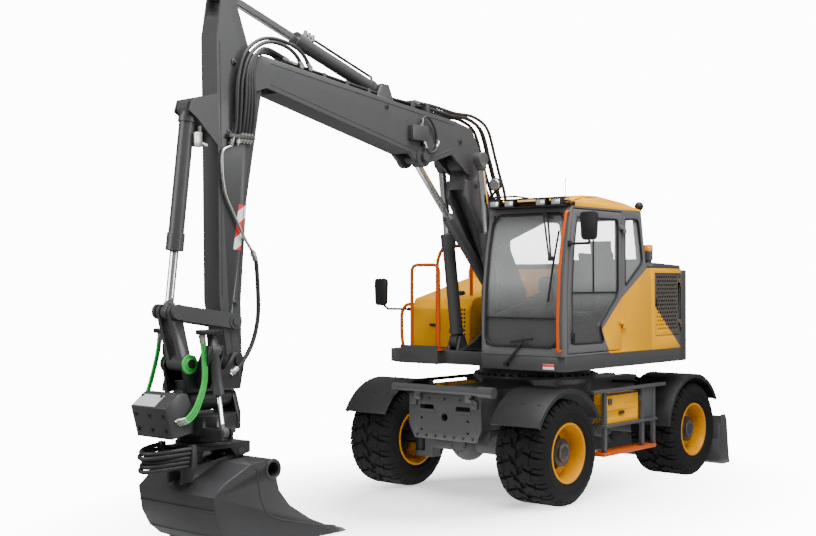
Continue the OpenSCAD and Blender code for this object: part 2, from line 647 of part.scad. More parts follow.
// Side door of the radiator bay with its grille, hinged at its rear edge
module service_door() color(dark) {
    gap = 5;
    difference() {
        box([grille_x[0] + gap, side_y - panel_t, grille_z[0] + gap], [grille_x[1] - gap, side_y, grille_z[1] - gap]);
        for (i = [0:8], j = [0:13])
            translate([grille_x[0] + 78 + i*50 + (j % 2)*25, side_y + 1, grille_z[0] + 75 + j*43])
                rotate([90, 0, 0]) cylinder(r=19, h=2*panel_t, $fn=6);
    }
    for (z = [1740 + fit, 2190 + fit]) difference() {
        union() {
            translate([grille_x[0] + 2, side_y + 12, z]) cylinder(r=11, h=40);
            box([grille_x[0] + 8, side_y - 1, z], [grille_x[0] + 45, side_y + 14, z + 40]);
        }
        translate([grille_x[0] + 2, side_y + 12, z - 1]) cylinder(r=5 + fit, h=50);
    }
}

// Tank and tool cover on the right, in front of the engine house
module side_cover() color(yellow) difference() {
    translate([0, -390, 0]) rotate([90, 0, 0]) linear_extrude(side_y - 10 - 390) polygon([[house_front + fit, deck_top],
        [680, deck_top], [680, 1900], [600, 2010], [house_front + fit, 2250]]);
    for (z = [1620:70:1900]) box([100, 60 - side_y, z], [480, -side_y, z + 24]);
}

module handrails() color(orange) {
    r = 19;
    low = deck_top;
    // loop across the front of the right platform, and the rail that runs back over the side cover
    tube([[1150, -820, low], [1150, -820, 2330], [1150, -770, 2380], [1150, -495, 2380], [1150, -445, 2330], [1150, -445, low]], r);
    tube([[1080, -520, low], [1080, -520, 2400], [1010, -520, 2540], [920, -520, 2590], [560, -520, 2590],
        [480, -520, 2510], [480, -520, 2044]], r);
    // grab bar on the cab's front left pillar
    rail_y = side_y - 26;
    tube([[cab_front + fit, rail_y, 1525], [cab_front + 50, rail_y, 1525], [cab_front + 50, rail_y, 1850],
        [cab_front + 24, rail_y, 2260], [cab_front - 32, rail_y, 2600], [cab_front - 108, rail_y, 2885],
        [cab_front - 148, rail_y, 2885]], 15);
}

module mirrors() color(black) {
    tube([[1150, -850, 1900], [1170, -1150, 1900], [1170, -1215, 1960]], 14);
    box([1130, -870, 1880], [1170, -839 - fit, 1920]);
    box([1150, -1270, 1935], [1195, -1160, 2255]);
    box([cab_front - 125, side_y + fit, 2540], [cab_front - 85, side_y + 24, 2600]);
    tube([[cab_front - 100, side_y + 12, 2570], [cab_front - 84, side_y + 250, 2570], [cab_front - 84, side_y + 250, 2640]], 12);
    box([cab_front - 105, side_y + 150, 2600], [cab_front - 66, side_y + 350, 2895]);
}

knee = [knee_x, boom_y, knee_z];
elbow = [elbow_x, boom_y, elbow_z];
wrist = [wrist_x, boom_y, wrist_z];
adjust_base = [640, boom_y, 2050];
adjust_eye = [1990, boom_y, 3440];
arm_base = [2540, boom_y, 4035];
arm_eye = [4500, boom_y, 4640];
curl_base = [4852, boom_y, 3623];
rocker_pin = [wrist_x + 23, boom_y, wrist_z + 328];
link_pin = [wrist_x + 623, boom_y, wrist_z + 415];
hitch_pin = [wrist_x + hitch_span, boom_y, wrist_z - 5];
eye_w = 130;
ear_in = 1.16*arm_r + side_gap;
ear_t = stick_w/2 - ear_in;

// Pair of ears beside an open rod eye
module ears(outline, inner, t) about_boom() slab(outline, inner + t/2, t);

// Foot arms, straight box and hinge ears of the lower boom
module base_boom() color(dark) {
    base_box();
    cross(adjust_base[0], adjust_base[2], 34, boom_y, 2*ear_in + 10);
}
module base_box() difference() {
    union() {
        slab([[foot_x - 95, foot_z + 30], [foot_x - 60, foot_z + 360], [knee_x - 270, knee_z - 240], [knee_x - 120, knee_z + 40],
            [knee_x + 60, knee_z - 110], [knee_x + 90, knee_z - 380], [foot_x + 480, foot_z + 560], [foot_x + 95, foot_z - 20]],
            boom_y, boom_w);
        cross(foot_x, foot_z, 100, boom_y, boom_w);
        cross(knee_x, knee_z, 120, boom_y, boom_w);
        ears([[foot_x + 180, foot_z + 250], [adjust_base[0] + 70, adjust_base[2] - 60], [adjust_base[0] + 80, adjust_base[2] + 40],
            [adjust_base[0] + 30, adjust_base[2] + 330]], ear_in, 30);
    }
    cross(foot_x, foot_z, pin_r + fit, boom_y, boom_w + 2);
    // well for the adjusting cylinder on the belly side
    slab([[adjust_base[0] - 75, adjust_base[2] - 90], [adjust_base[0] - 75, adjust_base[2] + 40], [knee_x + 10, knee_z - 240],
        [knee_x + 200, knee_z - 420], [adjust_base[0] + 300, adjust_base[2] - 90]], boom_y, 2*ear_in);
    // tongue between the upper boom's ears
    about_boom() cross(knee_x, knee_z, 215, boom_w/2 + 6, 80);
    cross(knee_x, knee_z, pin_r + fit, boom_y, boom_w + 2);
}

module lift_barrels() color(dark) for (s = [-1, 1])
    barrel(lift_base + [0, boom_y + s*lift_gap/2, 0], knee + [0, s*lift_gap/2, 0], 1150, lift_r, 42, 80, 96, 34);

module lift_rods() color(chrome) for (s = [-1, 1])
    piston(lift_base + [0, boom_y + s*lift_gap/2, 0], knee + [0, s*lift_gap/2, 0], 1230, 42, 76, 90);

module upper_boom() color(dark) difference() {
    union() {
        slab([[knee_x - 150, knee_z + 130], [knee_x - 10, knee_z + 330], [knee_x + 260, knee_z + 385],
            [knee_x + 1120, knee_z + 475], [elbow_x - 130, elbow_z + 215], [elbow_x - 30, elbow_z + 140],
            [elbow_x - 60, elbow_z - 110], [elbow_x - 200, elbow_z - 60], [knee_x + 960, knee_z], [adjust_eye[0] + 120, adjust_eye[2] - 40],
            [adjust_eye[0] - 90, adjust_eye[2] - 60], [knee_x + 300, knee_z + 40]], boom_y, boom_w);
        cross(elbow_x, elbow_z, 125, boom_y, boom_w);
        about_boom() {
            cross(knee_x, knee_z, 150, boom_w/2 - 14, 28);
            slab([[knee_x - 150, knee_z], [knee_x - 150, knee_z + 140], [knee_x + 300, knee_z + 200], [knee_x + 300, knee_z + 30],
                [knee_x + 100, knee_z - 112]], boom_w/2 - 14, 28);
            cross(adjust_eye[0], adjust_eye[2], 105, boom_w/2 - 15, 50);
            cross(adjust_eye[0], adjust_eye[2], 48, boom_w/2 + 15, 60);
        }
        cross(knee_x, knee_z, pin_r, boom_y, boom_w);
        // ears of the stick cylinder's base
        ears([[arm_base[0] - 150, knee_z + 440], [arm_base[0] - 60, arm_base[2] + 60], [arm_base[0] + 50, arm_base[2] + 65],
            [arm_base[0] + 130, knee_z + 470]], ear_in, 30);
        cross(arm_base[0], arm_base[2], 34, boom_y, 2*ear_in + 10);
    }
    // throat for the lower boom's tongue
    difference() {
        cross(knee_x, knee_z, 178, boom_y, boom_w - 56);
        cross(knee_x, knee_z, pin_r, boom_y, boom_w);
    }
    box([knee_x - 400, boom_y - boom_w/2 + 28, knee_z - 300], [knee_x, boom_y + boom_w/2 - 28, knee_z + 140]);
    // well for the adjusting cylinder's rod eye
    slab([[adjust_eye[0] - 430, adjust_eye[2] - 220], [adjust_eye[0] - 300, adjust_eye[2] + 190], [adjust_eye[0] + 150, adjust_eye[2] + 190],
        [adjust_eye[0] + 250, adjust_eye[2] - 220]], boom_y, 2*ear_in);
    // fork for the stick
    slab([[elbow_x - 430, elbow_z + 130], [elbow_x - 430, elbow_z + 320], [elbow_x - 200, elbow_z + 320],
        [elbow_x - 200, elbow_z + 60]], boom_y, stick_w + 2*6);
    difference() {
        cross(elbow_x, elbow_z, 345, boom_y, stick_w + 2*6);
        cross(elbow_x, elbow_z, pin_r, boom_y, boom_w);
    }
}

module adjust_barrel() color(dark) barrel(adjust_base, adjust_eye, 1130, arm_r - 6, 38, 66, eye_w, 34);
module adjust_rod() color(chrome) piston(adjust_base, adjust_eye, 1190, 38, 68, eye_w);

module stick() color(dark) difference() {
    union() {
        slab([[elbow_x + 140, arm_eye[2] - 60], [elbow_x - 40, elbow_z + 200], [elbow_x - 160, elbow_z + 20], [elbow_x - 170, elbow_z - 60], [elbow_x - 120, elbow_z - 330],
            [wrist_x - 130, wrist_z + 1340], [wrist_x - 65, wrist_z + 460], [wrist_x - 75, wrist_z],
            [wrist_x + 75, wrist_z - 10], [wrist_x + 171, wrist_z + 500], [wrist_x + 193, wrist_z + 2000],
            [elbow_x + 345, elbow_z + 320], [arm_eye[0] + 80, arm_eye[2] - 60]], boom_y, stick_w);
        cross(wrist_x, wrist_z, 92, boom_y, stick_w);
        // ears for the stick cylinder and for the bucket cylinder
        ears([[arm_eye[0] - 110, arm_eye[2] - 200], [arm_eye[0] - 70, arm_eye[2] + 60], [arm_eye[0] + 60, arm_eye[2] + 70],
            [arm_eye[0] + 100, arm_eye[2] - 200]], ear_in, ear_t);
        ears([[wrist_x + 150, curl_base[2] + 150], [curl_base[0] + 40, curl_base[2] + 70], [curl_base[0] + 70, curl_base[2] - 30],
            [curl_base[0] - 20, curl_base[2] - 90], [wrist_x + 150, curl_base[2] - 330]], ear_in, ear_t);
        cross(curl_base[0], curl_base[2], 34, boom_y, 2*ear_in + 10);
        cross(rocker_pin[0], rocker_pin[2], 36, boom_y, stick_w + 100);
    }
    cross(elbow_x, elbow_z, pin_r + fit, boom_y, stick_w + 2);
    cross(wrist_x, wrist_z, pin_r - 5 + fit, boom_y, stick_w + 2);
    // room for the stick cylinder's eye
    slab([[arm_eye[0] - 330, arm_eye[2] - 230], [arm_eye[0] - 330, arm_eye[2] + 200], [arm_eye[0] + 300, arm_eye[2] + 200],
        [arm_eye[0] + 200, arm_eye[2] - 230]], boom_y, 2*ear_in);
}

module arm_barrel() color(dark) barrel(arm_base, arm_eye, 1150, arm_r, 40, 68, eye_w, 34);
module arm_rod() color(chrome) piston(arm_base, arm_eye, 1233, 40, 72, eye_w);

module bucket_barrel() color(dark) barrel(curl_base, link_pin, 1180, arm_r, 36, 66, eye_w, 34);
module bucket_rod() color(chrome) piston(curl_base, link_pin, 1188, 36, 58, 70);

// Rocker levers beside the stick
rocker_in = stick_w/2 + 6;
module rockers() color(dark) about_boom() difference() {
    union() {
        a = [rocker_pin[0], rocker_pin[2]];
        b = [link_pin[0], link_pin[2]];
        slab([a + [-10, 62], a + [10, -62], b + [10, -58], b + [-10, 58]], rocker_in + 14, 28);
        cross(a[0], a[1], 66, rocker_in + 17, 34);
        cross(b[0], b[1], 62, rocker_in + 17, 34);
    }
    cross(rocker_pin[0], rocker_pin[2], 36 + fit, rocker_in, 120);
}

// Link from the rockers down to the rotator's rear pin
module hitch_link() color(dark) difference() {
    a = [link_pin[0], link_pin[2]];
    b = [hitch_pin[0], hitch_pin[2]];
    union() {
        about_boom() {
            slab([a + [-58, 8], b + [-55, 0], b + [55, 0], a + [58, -8]], 70, 36);
            cross(a[0], a[1], 60, 70, 36);
        }
        cross(b[0], b[1], 62, boom_y, stick_w - 6);
    }
    cross(b[0], b[1], 38 + fit, boom_y, stick_w + 2);
}

tilt_cyl_x = wrist_x + 373;
tilt_top = [tilt_cyl_x, 260, tilt_z + 410];
tilt_eye = [tilt_cyl_x, 380, tilt_z - 245];
rotor_x = wrist_x + hitch_span/2;
rotor_top = tilt_z - 118;
rotor_bottom = tilt_z - 340;
tilt_front = rotor_x + 225;
tilt_rear = rotor_x - 225;

// Upper bracket of the rotator: cheeks with two pins over the stick's foot, and the tube of the tilting axis
module tilt_frame() color(black) difference() {
    union() {
        cheek_in = stick_w/2 + 6;
        ears([[wrist_x - 80, wrist_z - 10], [wrist_x - 40, wrist_z + 70], [wrist_x + 50, wrist_z + 65], [wrist_x + 130, wrist_z - 70],
            [hitch_pin[0] - 130, wrist_z - 70], [hitch_pin[0] - 50, hitch_pin[2] + 65], [hitch_pin[0] + 40, hitch_pin[2] + 70],
            [hitch_pin[0] + 80, hitch_pin[2] - 10], [hitch_pin[0] + 30, tilt_z + 70], [wrist_x - 30, tilt_z + 70]], cheek_in, 30);
        cross(wrist_x, wrist_z, pin_r - 5, boom_y, 2*cheek_in + 100);
        cross(hitch_pin[0], hitch_pin[2], 38, boom_y, 2*cheek_in + 100);
        box([tilt_rear + 8, boom_y - cheek_in - 10, tilt_z + 72], [tilt_front - 8, boom_y + cheek_in + 10, tilt_z + 150]);
        translate([tilt_rear, boom_y, tilt_z]) rotate([0, 90, 0]) cylinder(r=96, h=tilt_front - tilt_rear);
        // lugs for the tilting cylinders
        about_boom() {
            for (x = [-58, 58])
                translate([tilt_cyl_x + x - 13, 0, 0]) rotate([90, 0, 90]) linear_extrude(26) polygon([[120, tilt_z + 100],
                    [165, tilt_z + 100], [tilt_top[1] + 50, tilt_top[2] - 40], [tilt_top[1] + 50, tilt_top[2] + 40],
                    [tilt_top[1] - 40, tilt_top[2] + 45], [130, tilt_z + 290]]);
        }
    }
    about_boom() translate([tilt_cyl_x - 80, tilt_top[1], tilt_top[2]]) rotate([0, 90, 0]) cylinder(r=24 + fit, h=160);
    translate([tilt_rear - 1, boom_y, tilt_z]) rotate([0, 90, 0]) cylinder(r=48 + fit, h=tilt_front - tilt_rear + 2);
}

module tilt_barrel(s) color(black) translate([0, boom_y, 0]) mirror([0, s < 0 ? 1 : 0, 0]) difference() {
    v = (tilt_eye - tilt_top)/norm(tilt_eye - tilt_top);
    union() {
        bar(tilt_top - v*145, tilt_top + v*360, 42);
        bar(tilt_top + v*300, tilt_top + v*360, 47);
        bar(tilt_top - [44, 0, 0], tilt_top + [44, 0, 0], 52);
        bar(tilt_top - [71, 0, 0], tilt_top + [71, 0, 0], 24);
    }
    bar(tilt_top - v*130, tilt_top + v*370, 22 + fit);
}
module tilt_barrel_l() tilt_barrel(1);
module tilt_barrel_r() tilt_barrel(-1);

module tilt_rod(s) color(chrome) translate([0, boom_y, 0]) mirror([0, s < 0 ? 1 : 0, 0]) {
    v = (tilt_eye - tilt_top)/norm(tilt_eye - tilt_top);
    bar(tilt_eye - v*560, tilt_eye - v*30, 22);
    bar(tilt_eye - [30, 0, 0], tilt_eye + [30, 0, 0], 44);
}
module tilt_rod_l() tilt_rod(1);
module tilt_rod_r() tilt_rod(-1);

// Gear housing of the rotator on the tilting pin, with lugs for the cylinders and a valve block in front
module rotor() color(black) difference() {
    union() {
        translate([rotor_x, boom_y, rotor_bottom + 60]) cylinder(r=rotor_r, h=rotor_top - rotor_bottom - 60);
        translate([rotor_x, boom_y, rotor_bottom]) cylinder(r=rotor_r - 45, h=61);
        for (x = [tilt_rear - 50 - fit, tilt_front + fit])
            translate([x, boom_y, 0]) rotate([90, 0, 90]) linear_extrude(50) polygon([[-150, rotor_bottom + 80],
                [150, rotor_bottom + 80], [150, rotor_top], [95, tilt_z + 40], [40, tilt_z + 90],
                [-40, tilt_z + 90], [-95, tilt_z + 40], [-150, rotor_top]]);
        translate([tilt_rear - 52, boom_y, tilt_z]) rotate([0, 90, 0]) cylinder(r=48, h=tilt_front - tilt_rear + 104);
        box([tilt_front + 40, boom_y - 190, rotor_bottom + 90], [tilt_front + 90, boom_y + 190, rotor_top - 10]);
        slab([[tilt_front + 84, rotor_bottom + 100], [tilt_front + 280, rotor_bottom + 60], [tilt_front + 350, tilt_z - 30],
            [tilt_front + 214, tilt_z + 76], [tilt_front + 128, tilt_z + 76], [tilt_front + 84, tilt_z - 20]], boom_y, 440);
        about_boom() for (x = [-52, 52])
            box([tilt_cyl_x + x - 12, 100, tilt_eye[2] - 55], [tilt_cyl_x + x + 12, tilt_eye[1] + 55, tilt_eye[2] + 34]);
    }
    translate([rotor_x, boom_y, rotor_bottom - 1]) cylinder(r=90 + fit, h=120);
}

coupler_pins = [[rotor_x - 270, 785], [rotor_x + 235, 785]];

// Turning lower hitch that grips the bucket's pins
module coupler() color(black) difference() {
    union() {
        translate([rotor_x, boom_y, rotor_bottom - fit - 30]) cylinder(r=rotor_r - 30, h=30);
        translate([rotor_x, boom_y, rotor_bottom - fit - 1]) cylinder(r=90, h=100);
        box([rotor_x - 360, boom_y - 165, rotor_bottom - 70], [rotor_x + 320, boom_y + 165, rotor_bottom - 29]);
        ears([[rotor_x - 370, rotor_bottom - 30], [rotor_x - 370, 765], [rotor_x - 290, 745], [rotor_x - 200, 755], [rotor_x - 150, 825],
            [rotor_x + 130, 825], [rotor_x + 160, 750], [rotor_x + 290, 745], [rotor_x + 330, rotor_bottom - 30]], 110, 52);
    }
    for (p = coupler_pins) cross(p[0], p[1], 32 + fit, boom_y, 400);
}

lip_x = rotor_x - 1226;
back_x = rotor_x + 304;
tube_x = rotor_x - 338;
tube_z = 652;
heel_r = 430;
heel = [lip_x + 1090, bucket_lift + heel_r];

// Outline of the bucket's shell; a negative depth lies inside
function shell(d) = concat([[lip_x + 40, bucket_lift - d], [heel[0], bucket_lift - d]],
    [for (a = [-80:20:-20]) heel + (heel_r + d)*[cos(a), sin(a)]],
    [[back_x + d, 500], [back_x - 110 + 0.7*d, 590 + 0.7*d], [rotor_x - 81, 715 + d], [tube_x, tube_z + 76 + d]]);

module bucket() color(black) {
    difference() {
        union() {
            difference() {
                slab(concat(shell(0), [[tube_x - 69, 471], [tube_x - 195, 330], [lip_x + 445, 180]]), boom_y, bucket_w);
                slab(concat(shell(-bucket_t), [[tube_x - 100, tube_z], [lip_x, 400], [lip_x - 20, bucket_lift + bucket_t]]), boom_y,
                    bucket_w - 2*bucket_t);
            }
            // cutting edge and the torque tube above the mouth
            slab([[lip_x, bucket_lift], [lip_x + 60, bucket_lift + 36], [lip_x + 240, bucket_lift + 36], [lip_x + 240, bucket_lift]],
                boom_y, bucket_w + 10);
            cross(tube_x, tube_z, 84, boom_y, bucket_w + 8);
            // ears with the two hitch pins, standing on the shell
            ears([[coupler_pins[0][0] - 70, 640], [coupler_pins[0][0] - 60, 810], [coupler_pins[0][0] + 60, 815], [coupler_pins[0][0] + 110, 745],
                [coupler_pins[1][0] - 90, 700], [coupler_pins[1][0] - 60, 810], [coupler_pins[1][0] + 50, 815],
                [coupler_pins[1][0] + 75, 560]], 72, 32);
            for (p = coupler_pins) cross(p[0], p[1], 32, boom_y, 330);
        }
        cross(tube_x, tube_z, 60, boom_y, bucket_w + 60);
    }
}

chassis();
front_axle();
rear_axle();
rear_guards();
side_steps();
tool_boxes();
low_steps();
front_bar();
knuckle_l();
knuckle_r();
steering_rod();
tyre_fl();
tyre_fr();
tyre_rl();
tyre_rr();
rim_fl();
rim_fr();
rim_rl();
rim_rr();
blade();
blade_barrels();
blade_rods();
deck();
cab_shell();
cab_roof();
cab_glass();
cab_lamps();
seat();
door();
door_glass();
counterweight();
engine_house();
engine();
hood();
service_door();
side_cover();
handrails();
mirrors();
base_boom();
lift_barrels();
lift_rods();
upper_boom();
adjust_barrel();
adjust_rod();
stick();
arm_barrel();
arm_rod();
bucket_barrel();
bucket_rod();
rockers();
hitch_link();
tilt_frame();
tilt_barrel_l();
tilt_barrel_r();
tilt_rod_l();
tilt_rod_r();
rotor();
coupler();
bucket();
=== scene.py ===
import json
import math

import bmesh
import bpy
from mathutils import Matrix, Vector


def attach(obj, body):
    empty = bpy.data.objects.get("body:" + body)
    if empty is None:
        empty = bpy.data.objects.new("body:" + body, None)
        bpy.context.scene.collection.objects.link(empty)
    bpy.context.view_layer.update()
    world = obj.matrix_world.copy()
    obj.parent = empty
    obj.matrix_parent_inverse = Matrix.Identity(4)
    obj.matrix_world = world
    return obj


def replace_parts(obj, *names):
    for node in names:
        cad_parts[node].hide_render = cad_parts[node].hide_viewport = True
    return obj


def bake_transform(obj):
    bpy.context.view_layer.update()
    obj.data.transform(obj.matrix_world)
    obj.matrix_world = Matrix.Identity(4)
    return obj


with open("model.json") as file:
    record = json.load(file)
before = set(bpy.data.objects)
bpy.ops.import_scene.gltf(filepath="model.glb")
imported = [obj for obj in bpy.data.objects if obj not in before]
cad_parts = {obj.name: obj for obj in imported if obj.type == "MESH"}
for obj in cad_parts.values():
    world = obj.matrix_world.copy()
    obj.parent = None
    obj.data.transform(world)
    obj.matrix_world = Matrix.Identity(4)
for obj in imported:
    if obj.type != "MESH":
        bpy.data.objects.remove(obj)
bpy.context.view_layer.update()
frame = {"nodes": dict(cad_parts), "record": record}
nodes = frame["nodes"]
record = frame["record"]
scene = bpy.context.scene

# The view: a machine photographed from its front left, at the height of its cab, on a white studio floor.
# The camera is level but for a slight upward tilt, with a 54 mm lens on a full-width sensor.
camera_data = bpy.data.cameras.new("photo_view")
camera_data.lens, camera_data.sensor_width, camera_data.clip_end = 54.0, 36.0, 200.0
camera = bpy.data.objects.new("photo_view", camera_data)
scene.collection.objects.link(camera)
camera.location = (11.315, 7.797, 2.196)
camera.rotation_euler = Vector((-0.7607, -0.6490, 0.0114)).to_track_quat("-Z", "Y").to_euler()
scene.camera = camera


# Studio: a pale floor that fades out into a white backdrop, a broad soft lamp overhead, one in front and one on the left.
# The floor is matt painted board, and its far edge is thinned away so that no horizon shows.
class Shade:
    """A value in one material: sums and products of it add Math nodes to that material."""

    def __init__(self, tree, socket=None):
        self.tree, self.socket = tree, socket

    def add(self, kind, settings=(), ports=(), out=0):
        node = self.tree.nodes.new("ShaderNode" + kind)
        for key, value in dict(settings).items():
            setattr(node, key, value)
        for key, value in dict(ports).items():
            if isinstance(value, Shade):
                self.tree.links.new(value.socket, node.inputs[key])
            else:
                node.inputs[key].default_value = value
        return Shade(self.tree, node.outputs[out])

    def maths(self, operation, a, b):
        return self.add("Math", {"operation": operation}, {0: a, 1: b})

    def __add__(self, other):
        return self.maths("ADD", self, other)

    __radd__ = __add__

    def __sub__(self, other):
        return self.maths("SUBTRACT", self, other)

    def __rsub__(self, other):
        return self.maths("SUBTRACT", other, self)

    def __mul__(self, other):
        return self.maths("MULTIPLY", self, other)

    __rmul__ = __mul__

    def least(self, other):
        return self.maths("MINIMUM", self, other)

    def most(self, other):
        return self.maths("MAXIMUM", self, other)

    def above(self, level, soft=0.004):
        """0 under the level and 1 over it, over a soft edge."""
        return self.add("Math", {"operation": "MULTIPLY_ADD", "use_clamp": True},
                        {0: self - level, 1: 1.0 / soft, 2: 0.5})

    def mixed(self, under, over):
        """One colour under another, by this value."""
        return self.add("Mix", {"data_type": "RGBA"}, {0: self, 6: under, 7: over}, out=2)

    def axes(self):
        """The three parts of a place."""
        return [self.add("SeparateXYZ", {}, {"Vector": self}, out=k) for k in range(3)]

    def noise(self, scale, detail=2.0, rough=0.5):
        return self.add("TexNoise", {}, {"Vector": self, "Scale": scale, "Detail": detail, "Roughness": rough})

    def cells(self, scale):
        return self.add("TexVoronoi", {}, {"Vector": self, "Scale": scale})

    def bands(self, direction, scale):
        return self.add("TexWave", {"wave_type": "BANDS", "bands_direction": direction},
                        {"Vector": self, "Scale": scale})


def new_finish(name):
    """An empty finish, its shader, and the place on the piece that its patterns follow."""
    material = bpy.data.materials.new(name)
    material.use_nodes = True
    shader = next(n for n in material.node_tree.nodes if n.type == "BSDF_PRINCIPLED")
    return material, shader, Shade(material.node_tree).add("TexCoord", out="Object")


def colour(r, g, b, times=1.0):
    return (min(1.0, r * times), min(1.0, g * times), min(1.0, b * times), 1.0)


def join_up(shader, bump=None, **ports):
    """Links what varies to the shader, sets what doesn't; a bump is its strength, its depth and its pattern."""
    if bump:
        ports["Normal"] = bump[2].add("Bump", {}, dict(zip(("Strength", "Distance", "Height"), bump)))
    for port, value in ports.items():
        socket = shader.inputs[port.replace("_", " ")]
        if isinstance(value, Shade):
            shader.id_data.links.new(value.socket, socket)
        else:
            socket.default_value = value


floor_half = 40.0
floor_mesh = bpy.data.meshes.new("studio_floor")
floor_mesh.from_pydata([(x * floor_half, y * floor_half, 0) for x, y in ((-1, -1), (1, -1), (1, 1), (-1, 1))], [],
                       [(0, 1, 2, 3)])
floor = bpy.data.objects.new("studio_floor", floor_mesh)
scene.collection.objects.link(floor)
floor_finish, floor_shader, floor_place = new_finish("pale_floor")
floor_oval = floor_place.add("Mapping", {}, {"Vector": floor_place, "Location": (-0.93, 0.0, 0.0),
                                             "Scale": (0.66, 1.0, 1.0)})
floor_reach = floor_place.add("VectorMath", {"operation": "LENGTH"}, {0: floor_oval}, out="Value")
join_up(floor_shader, Base_Color=floor_place.noise(0.35).mixed(colour(0.92, 0.92, 0.92), colour(0.95, 0.95, 0.95)),
        Alpha=1.0 - floor_reach.above(2.1, 2.5), Roughness=0.7, Specular_IOR_Level=0.2,
        Emission_Color=(1.0, 1.0, 1.0, 1.0), Emission_Strength=0.8)
floor_mesh.materials.append(floor_finish)
world = scene.world = bpy.data.worlds.new("studio_air")
world.use_nodes = True
backdrop_seen = Shade(world.node_tree).add("LightPath", out="Is Camera Ray")
join_up(world.node_tree.nodes["Background"], Color=(1.0, 1.0, 1.0, 1.0), Strength=0.28 + 13.0 * backdrop_seen)
for name, place, aim, size, watts in (("overhead_lamp", (2.5, 3.0, 9.0), (1.5, 0.0, 1.0), 9.0, 1900.0),
                                      ("front_lamp", (11.0, -2.0, 5.0), (2.0, 0.0, 1.6), 5.0, 460.0),
                                      ("left_lamp", (-1.0, 11.0, 5.0), (0.5, 0.0, 1.5), 5.0, 480.0)):
    lamp_data = bpy.data.lights.new(name, "AREA")
    lamp_data.shape, lamp_data.size, lamp_data.energy = "DISK", size, watts
    lamp = bpy.data.objects.new(name, lamp_data)
    scene.collection.objects.link(lamp)
    lamp.location = place
    lamp.rotation_euler = (Vector(aim) - Vector(place)).to_track_quat("-Z", "Y").to_euler()

# Chassis: a welded box beam of thick plate that carries the slewing ring, the axles and the front plate.
# It is sprayed in dark charcoal enamel, and its plate edges are ground round before painting.
body_of = {n: body for body, members in record["behaviour"]["bodies"].items() for n in members}


def enamel(name, base, rough, gloss=0.0, second=None, split=None, edge_wear_highlight_gain=1.7, shine=0.35, tint=(1.0, 1.0, 1.0)):
    """Sprayed paint: slow changes of tone, fine orange peel, a thin coat, and edges painted lighter, partly light wear
    and partly a painted highlight.
    """
    material, shader, place = new_finish(name)
    fine = place.noise(34.0, 3.0, 0.7)
    tone = place.noise(2.3, 4.0, 0.6) * 0.7 + fine * 0.3
    ground = tone.mixed(colour(*base, 0.84), colour(*base, 1.14))
    if second is not None:
        ground = split(place).mixed(ground, tone.mixed(colour(*second, 0.90), colour(*second, 1.08)))
    rounded = place.add("Bevel", {"samples": 4}, {"Radius": 0.006})
    face = place.add("NewGeometry", out="Normal")
    bend = place.add("VectorMath", {"operation": "DOT_PRODUCT"}, {0: rounded, 1: face}, out="Value")
    # Edges are painted lighter: partly light wear, partly a painted highlight where the bevelled edges would catch the
    # light.
    edge_wear_and_highlight = (1.0 - bend).above(0.10, 0.16) * (0.25 + 0.5 * fine)
    join_up(shader, (0.10, 0.0006, place.noise(380.0, 1.0)), Base_Color=edge_wear_and_highlight.mixed(ground, colour(*base, edge_wear_highlight_gain)),
            Roughness=rough - 0.10 + 0.2 * tone + 0.1 * edge_wear_and_highlight, Coat_Weight=gloss, Coat_Roughness=0.12,
            Specular_IOR_Level=shine, Specular_Tint=(*tint, 1.0))
    return material


def made_mesh(name, form, sharp_deg=38.0):
    bmesh.ops.recalc_face_normals(form, faces=form.faces)
    mesh = bpy.data.meshes.new(name)
    form.to_mesh(mesh)
    form.free()
    mesh.polygons.foreach_set("use_smooth", [True] * len(mesh.polygons))
    mesh.set_sharp_from_angle(angle=math.radians(sharp_deg))
    mesh.update()
    return mesh


def fit_piece(name, mesh, finish, body, stands_for=(), span=None):
    """One finished piece: its mesh in place, its finish on it, riding on its body, or, given a span, fixed where it
    stands on no body.
    """
    piece = bpy.data.objects.new(name, mesh)
    scene.collection.objects.link(piece)
    if finish is not None:
        mesh.materials.clear()
        mesh.materials.append(finish)
    if span:
        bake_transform(piece)
    else:
        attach(piece, body)
    if stands_for:
        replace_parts(piece, *stands_for)
    return piece


def fit_form(name, form, finish, body, stands_for=(), sharp_deg=38.0):
    return fit_piece(name, made_mesh(name, form, sharp_deg), finish, body, stands_for)


def ground_edges(finish, width, *names):
    """Each node's shape with its longer sharp edges ground round, standing for the node."""
    for node in names:
        form = bmesh.new()
        form.from_mesh(nodes[node].data)
        bmesh.ops.remove_doubles(form, verts=form.verts, dist=2e-5)
        bmesh.ops.dissolve_limit(form, angle_limit=math.radians(0.6), verts=form.verts, edges=form.edges)
        sharp = [e for e in form.edges if len(e.link_faces) == 2 and e.calc_face_angle(0.0) > math.radians(32)]
        short = {v for e in sharp if e.calc_length() < 2.4 * width for v in e.verts}
        long_edges = [e for e in sharp if e.calc_length() > 2.4 * width and not (set(e.verts) & short)]
        if long_edges:
            bmesh.ops.bevel(form, geom=long_edges, offset=width, offset_type="OFFSET", segments=2, profile=0.5,
                            affect="EDGES", clamp_overlap=False, loop_slide=True)
        fit_form(node + "_finished", form, finish, body_of[node], (node,))


charcoal = (0.047, 0.0475, 0.049)
charcoal_enamel = enamel("charcoal_enamel", charcoal, 0.42, 0.10)
ground_edges(charcoal_enamel, 0.006, "chassis")


# Slewing ring and front plate: rows of hexagon heads hold the ring's flange and the bolted front plate.
# The heads are pressed steel, blackened, with a washer face under each.
def add_rod(form, a, b, r0, r1=None, sides=24):
    a, b = Vector(a), Vector(b)
    turn = (b - a).to_track_quat("Z", "Y").to_matrix().to_4x4()
    bmesh.ops.create_cone(form, cap_ends=True, segments=sides, radius1=r0, radius2=r0 if r1 is None else r1,
                          depth=(b - a).length, matrix=Matrix.Translation((a + b) / 2) @ turn)


